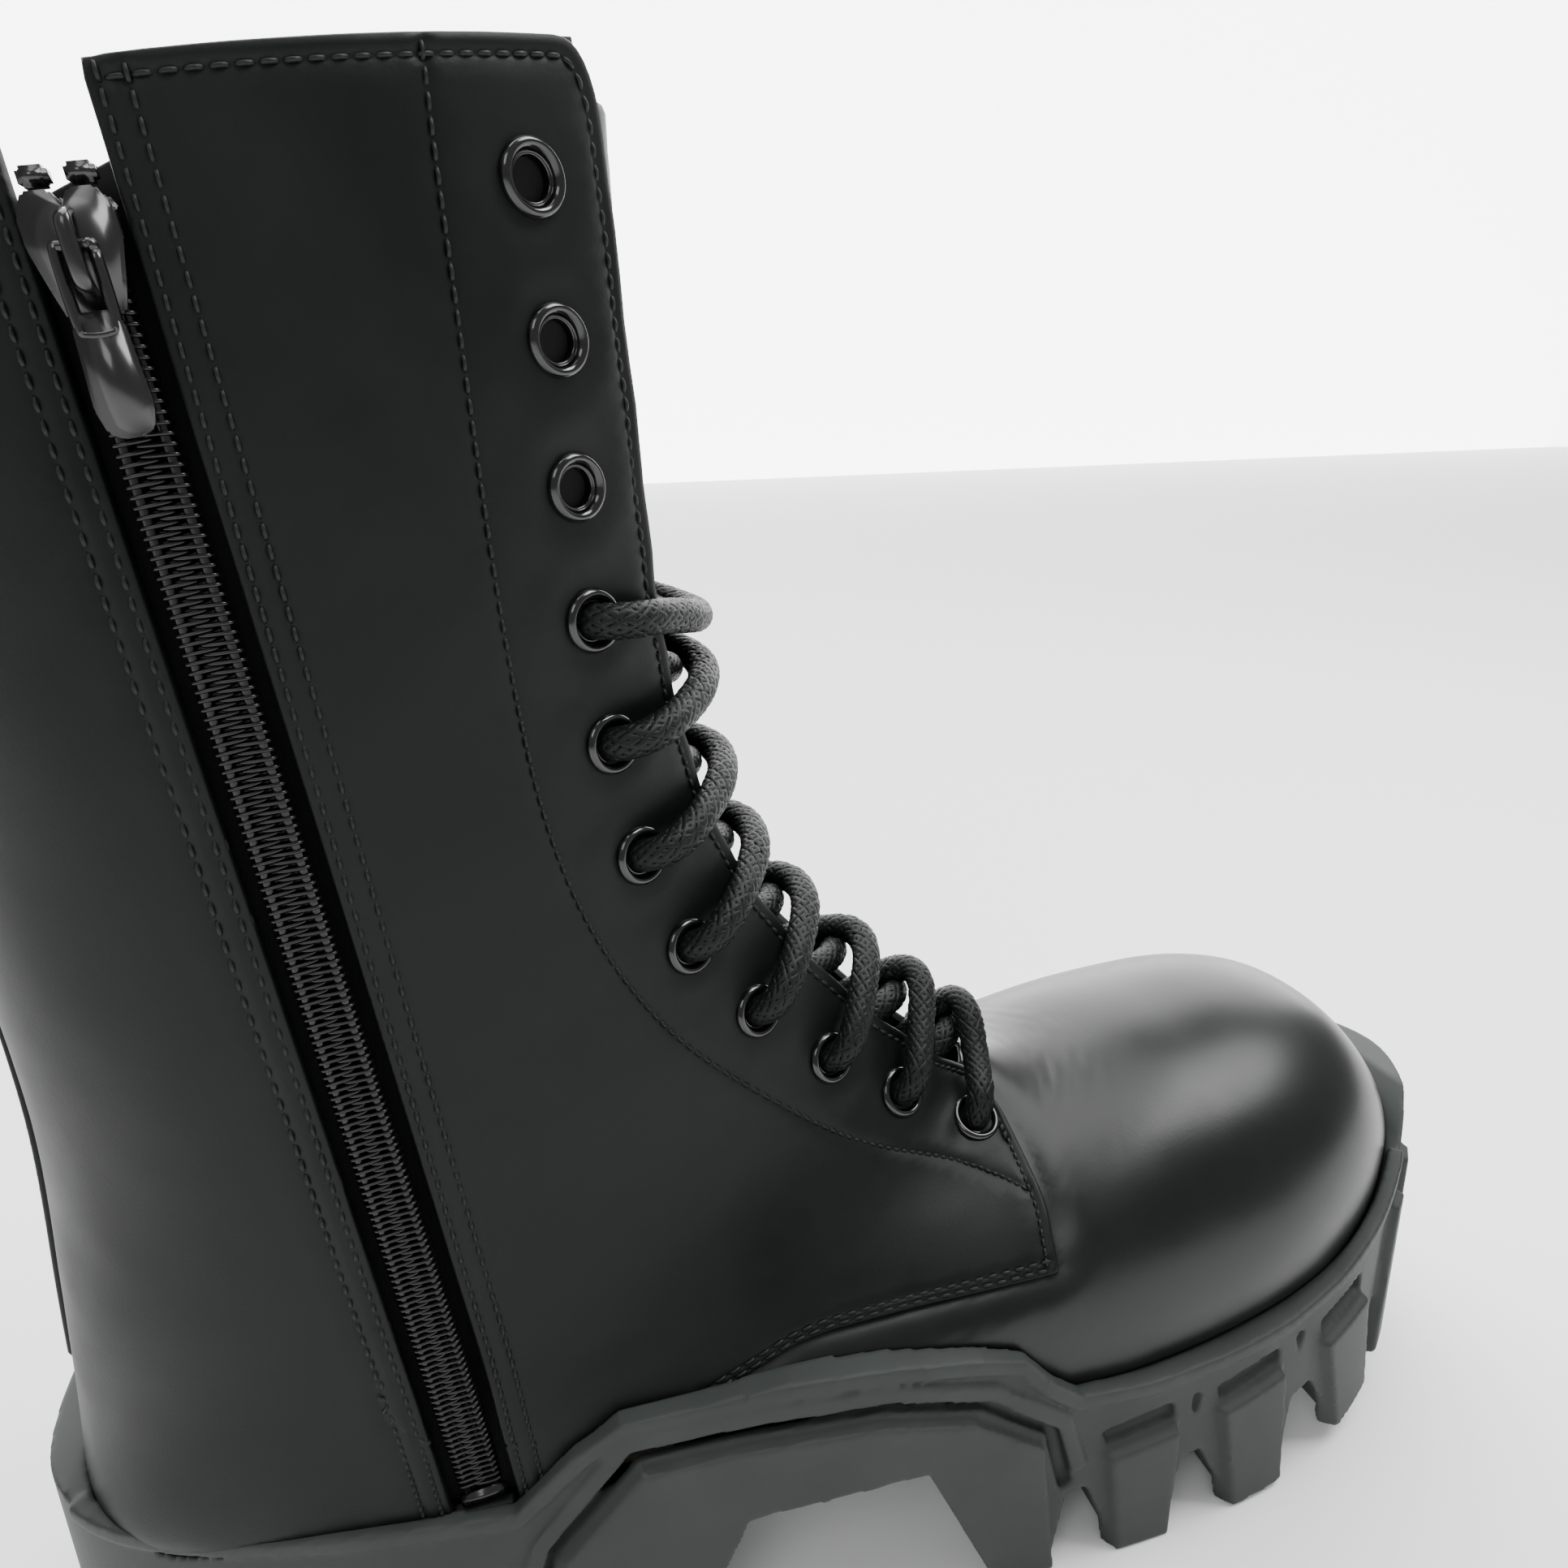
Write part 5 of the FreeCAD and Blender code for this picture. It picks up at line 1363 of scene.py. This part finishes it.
COIL_TURN = [(3.75, 0.55), (3.55, -0.35), (2.9, -0.72), (1.6, -0.80), (0.3, -0.72), (-0.75, -0.42),
             (-0.95, 0.3), (-0.2, 0.75), (1.6, 0.85), (3.2, 0.8)]
COIL_RISE = np.linspace(0.0, COIL_PITCH * 0.45, len(COIL_TURN))
for sign, side_name in ((1, "front"), (-1, "rear")):
    coil = Bundle()
    for index in range(int(CHAIN_LENGTH / COIL_PITCH)):
        z = 1.2 + index * COIL_PITCH + (0.0 if sign > 0 else COIL_PITCH / 2)
        points = smooth([(sign * x, y, z + rise) for (x, y), rise in zip(COIL_TURN, COIL_RISE)], 3)
        coil.add(*tube(in_zip(points), 0.30, 6))
    cord_line = [(sign * 2.6, 0.05, z) for z in np.linspace(0.0, CHAIN_LENGTH, 60)]
    coil.add(*tube(in_zip(cord_line), 0.75, 8))
    coil.make(f"zip_coil_{side_name}_turns", nylon, "zip_nylon", replaces=(f"zip_coil_{side_name}",))


def add_plate(bundle, outline, low, high, bevel, place):
    """Add a plate with softened rims: an outline of x, z between two depths, put at a place on the zip."""
    shaped = bmesh.new()
    ring = [shaped.verts.new((x, low, z)) for x, z in outline]
    face = shaped.faces.new(ring)
    extruded = bmesh.ops.extrude_face_region(shaped, geom=[face])
    moved = [v for v in extruded["geom"] if isinstance(v, bmesh.types.BMVert)]
    bmesh.ops.translate(shaped, verts=moved, vec=(0.0, high - low, 0.0))
    bmesh.ops.recalc_face_normals(shaped, faces=shaped.faces)
    bmesh.ops.bevel(shaped, geom=list(shaped.edges), offset=bevel, segments=2, affect="EDGES")
    vertices = [tuple(v.co) for v in shaped.verts]
    shaped.verts.ensure_lookup_table()
    shaped.verts.index_update()
    faces = [tuple(v.index for v in f.verts) for f in shaped.faces]
    shaped.free()
    bundle.add(in_zip(np.array(vertices) + place), faces)


slider = Bundle()
wide, tall = SLIDER_WIDTH / 2, SLIDER_LENGTH
outline = [(-wide * 0.62, 0.0), (wide * 0.62, 0.0), (wide * 0.80, 3.5), (wide, 8.0), (wide, 11.5),
           (wide * 0.75, tall), (wide * 0.2, tall), (0.0, tall - 1.6), (-wide * 0.2, tall),
           (-wide * 0.75, tall), (-wide, 11.5), (-wide, 8.0), (-wide * 0.80, 3.5)]
slider_place = np.array((0.0, 0.0, SLIDER_FOOT))
for low, high in ((-2.8, -1.6), (3.0, 4.2)):
    add_plate(slider, outline, low, high, 0.35, slider_place)
for sign in (-1, 1):
    add_plate(slider, [(sign * (wide - 0.9), 7.5), (sign * wide, 8.0), (sign * wide, 11.5),
                       (sign * (wide - 0.9), 12.5)], -2.2, -0.9, 0.2, slider_place)
add_plate(slider, [(-0.3, 7.5), (0.3, 7.5), (0.3, 12.0), (-0.3, 12.0)], -1.8, 3.2, 0.1, slider_place)
bail = smooth([(0.0, -2.4, 2.6), (0.0, -4.3, 3.4), (0.0, -4.85, 5.2), (0.0, -4.85, 8.8), (0.0, -4.3, 10.6),
               (0.0, -2.4, 11.4)], 6)
slider.add(*tube(in_zip(bail + slider_place), 0.75, 10, wide=1.5))
slider.make("zip_slider_body", zip_enamel, "zip_metal", body="slider", replaces=("zip_slider",))

pull = Bundle()
ring = [(2.1, 2.2), (2.1, -5.6), (1.4, -6.8), (-1.4, -6.8), (-2.1, -5.6), (-2.1, 2.2), (-1.3, 3.0),
        (1.3, 3.0)]
ring = smooth([ring[-1]] + ring + [ring[0], ring[1]], 5)[5:-5]
pull_pin = np.array((0.0, -3.75, SLIDER_FOOT + SLIDER_LENGTH / 2))
ring = np.stack([ring[:, 0], 0 * ring[:, 0], ring[:, 1] - 2.3], 1)
pull.add(*tube(in_zip(ring + pull_pin), 0.72, 8))
tab = [(-1.9, -6.6), (1.9, -6.6), (2.9, -8.2), (3.4, -17.5), (2.7, -20.3), (1.2, -21.2), (-1.2, -21.2),
       (-2.7, -20.3), (-3.4, -17.5), (-2.9, -8.2)]
add_plate(pull, tab, -0.6, 0.6, 0.3, pull_pin)
pull.make("zip_pull_tab", zip_enamel, "zip_metal", body="pull", replaces=("zip_pull",))

stops = Bundle()
for x in (-2.6, 2.6):
    clip = [(x - 1.7, 0.0), (x + 1.7, 0.0), (x + 1.7, 2.4), (x - 1.7, 2.4)]
    add_plate(stops, clip, -1.3, 1.3, 0.5, (0, 0, CHAIN_LENGTH + 2.6))
stops.make("zip_top_stop_clips", zip_enamel, "zip_metal", replaces=("zip_top_stops",))
low_stop = Bundle()
add_plate(low_stop, [(-4.2, 0.0), (4.2, 0.0), (4.2, 2.6), (-4.2, 2.6)], -1.3, 1.3, 0.5, (0, 0, -2.8))
low_stop.make("zip_bottom_stop_clip", zip_enamel, "zip_metal", replaces=("zip_bottom_stop",))
tab_loop = SKIN.line([(77.5, 46.3), (88.6, 46.3), (89.6, 38.0), (78.6, 38.0)], MEDIAL)
panel("zip_end_tab_skin", SKIN, tab_loop, leather_height(ripples=0.05), leather, slot="black_leather",
      replaces=("zip_end_tab",))

# ---------------------------------------------------------------- floor and light
def studio_face(name, corners, material):
    """One large face that belongs to the picture and not to the part."""
    mesh = bpy.data.meshes.new(name)
    mesh.from_pydata(corners, [], [(0, 1, 2, 3)])
    mesh.materials.append(material)
    item = bpy.data.objects.new(name, mesh)
    bpy.context.scene.collection.objects.link(item)


studio_face("floor", [(-6, -6, 0), (6, -6, 0), (6, 6, 0), (-6, 6, 0)],
            shader("floor_white", (0.88, 0.88, 0.88), 0.9, specular=0.1))
world = bpy.data.worlds.new("studio")
world.use_nodes = True
world.node_tree.nodes["Background"].inputs["Color"].default_value = (1.0, 1.0, 1.0, 1.0)
world.node_tree.nodes["Background"].inputs["Strength"].default_value = 0.5
bpy.context.scene.world = world
glow = shader("backdrop_white", (0.9, 0.9, 0.9), 0.9, specular=0.0)
glow.node_tree.nodes["Principled BSDF"].inputs["Emission Color"].default_value = (1.0, 1.0, 1.0, 1.0)
glow.node_tree.nodes["Principled BSDF"].inputs["Emission Strength"].default_value = 6.0
studio_face("backdrop", [(-9, 5, -1), (9, 5, -1), (9, 5, 7), (-9, 5, 7)], glow)


def softbox(name, place, target, size, power):
    """Square area light turned to a target."""
    data = bpy.data.lights.new(name, "AREA")
    data.size = size
    data.energy = power
    item = bpy.data.objects.new(name, data)
    bpy.context.scene.collection.objects.link(item)
    item.location = place
    item.rotation_euler = (Vector(target) - Vector(place)).to_track_quat("-Z", "Y").to_euler()


softbox("key", (0.62, -0.16, 1.25), (0.10, 0.0, 0.08), 0.6, 17.0)
softbox("fill", (-0.9, -1.2, 1.5), (-0.05, 0.0, 0.2), 0.8, 9.0)
softbox("top", (-0.3, 0.5, 2.4), (0.0, 0.1, 0.0), 1.8, 55.0)
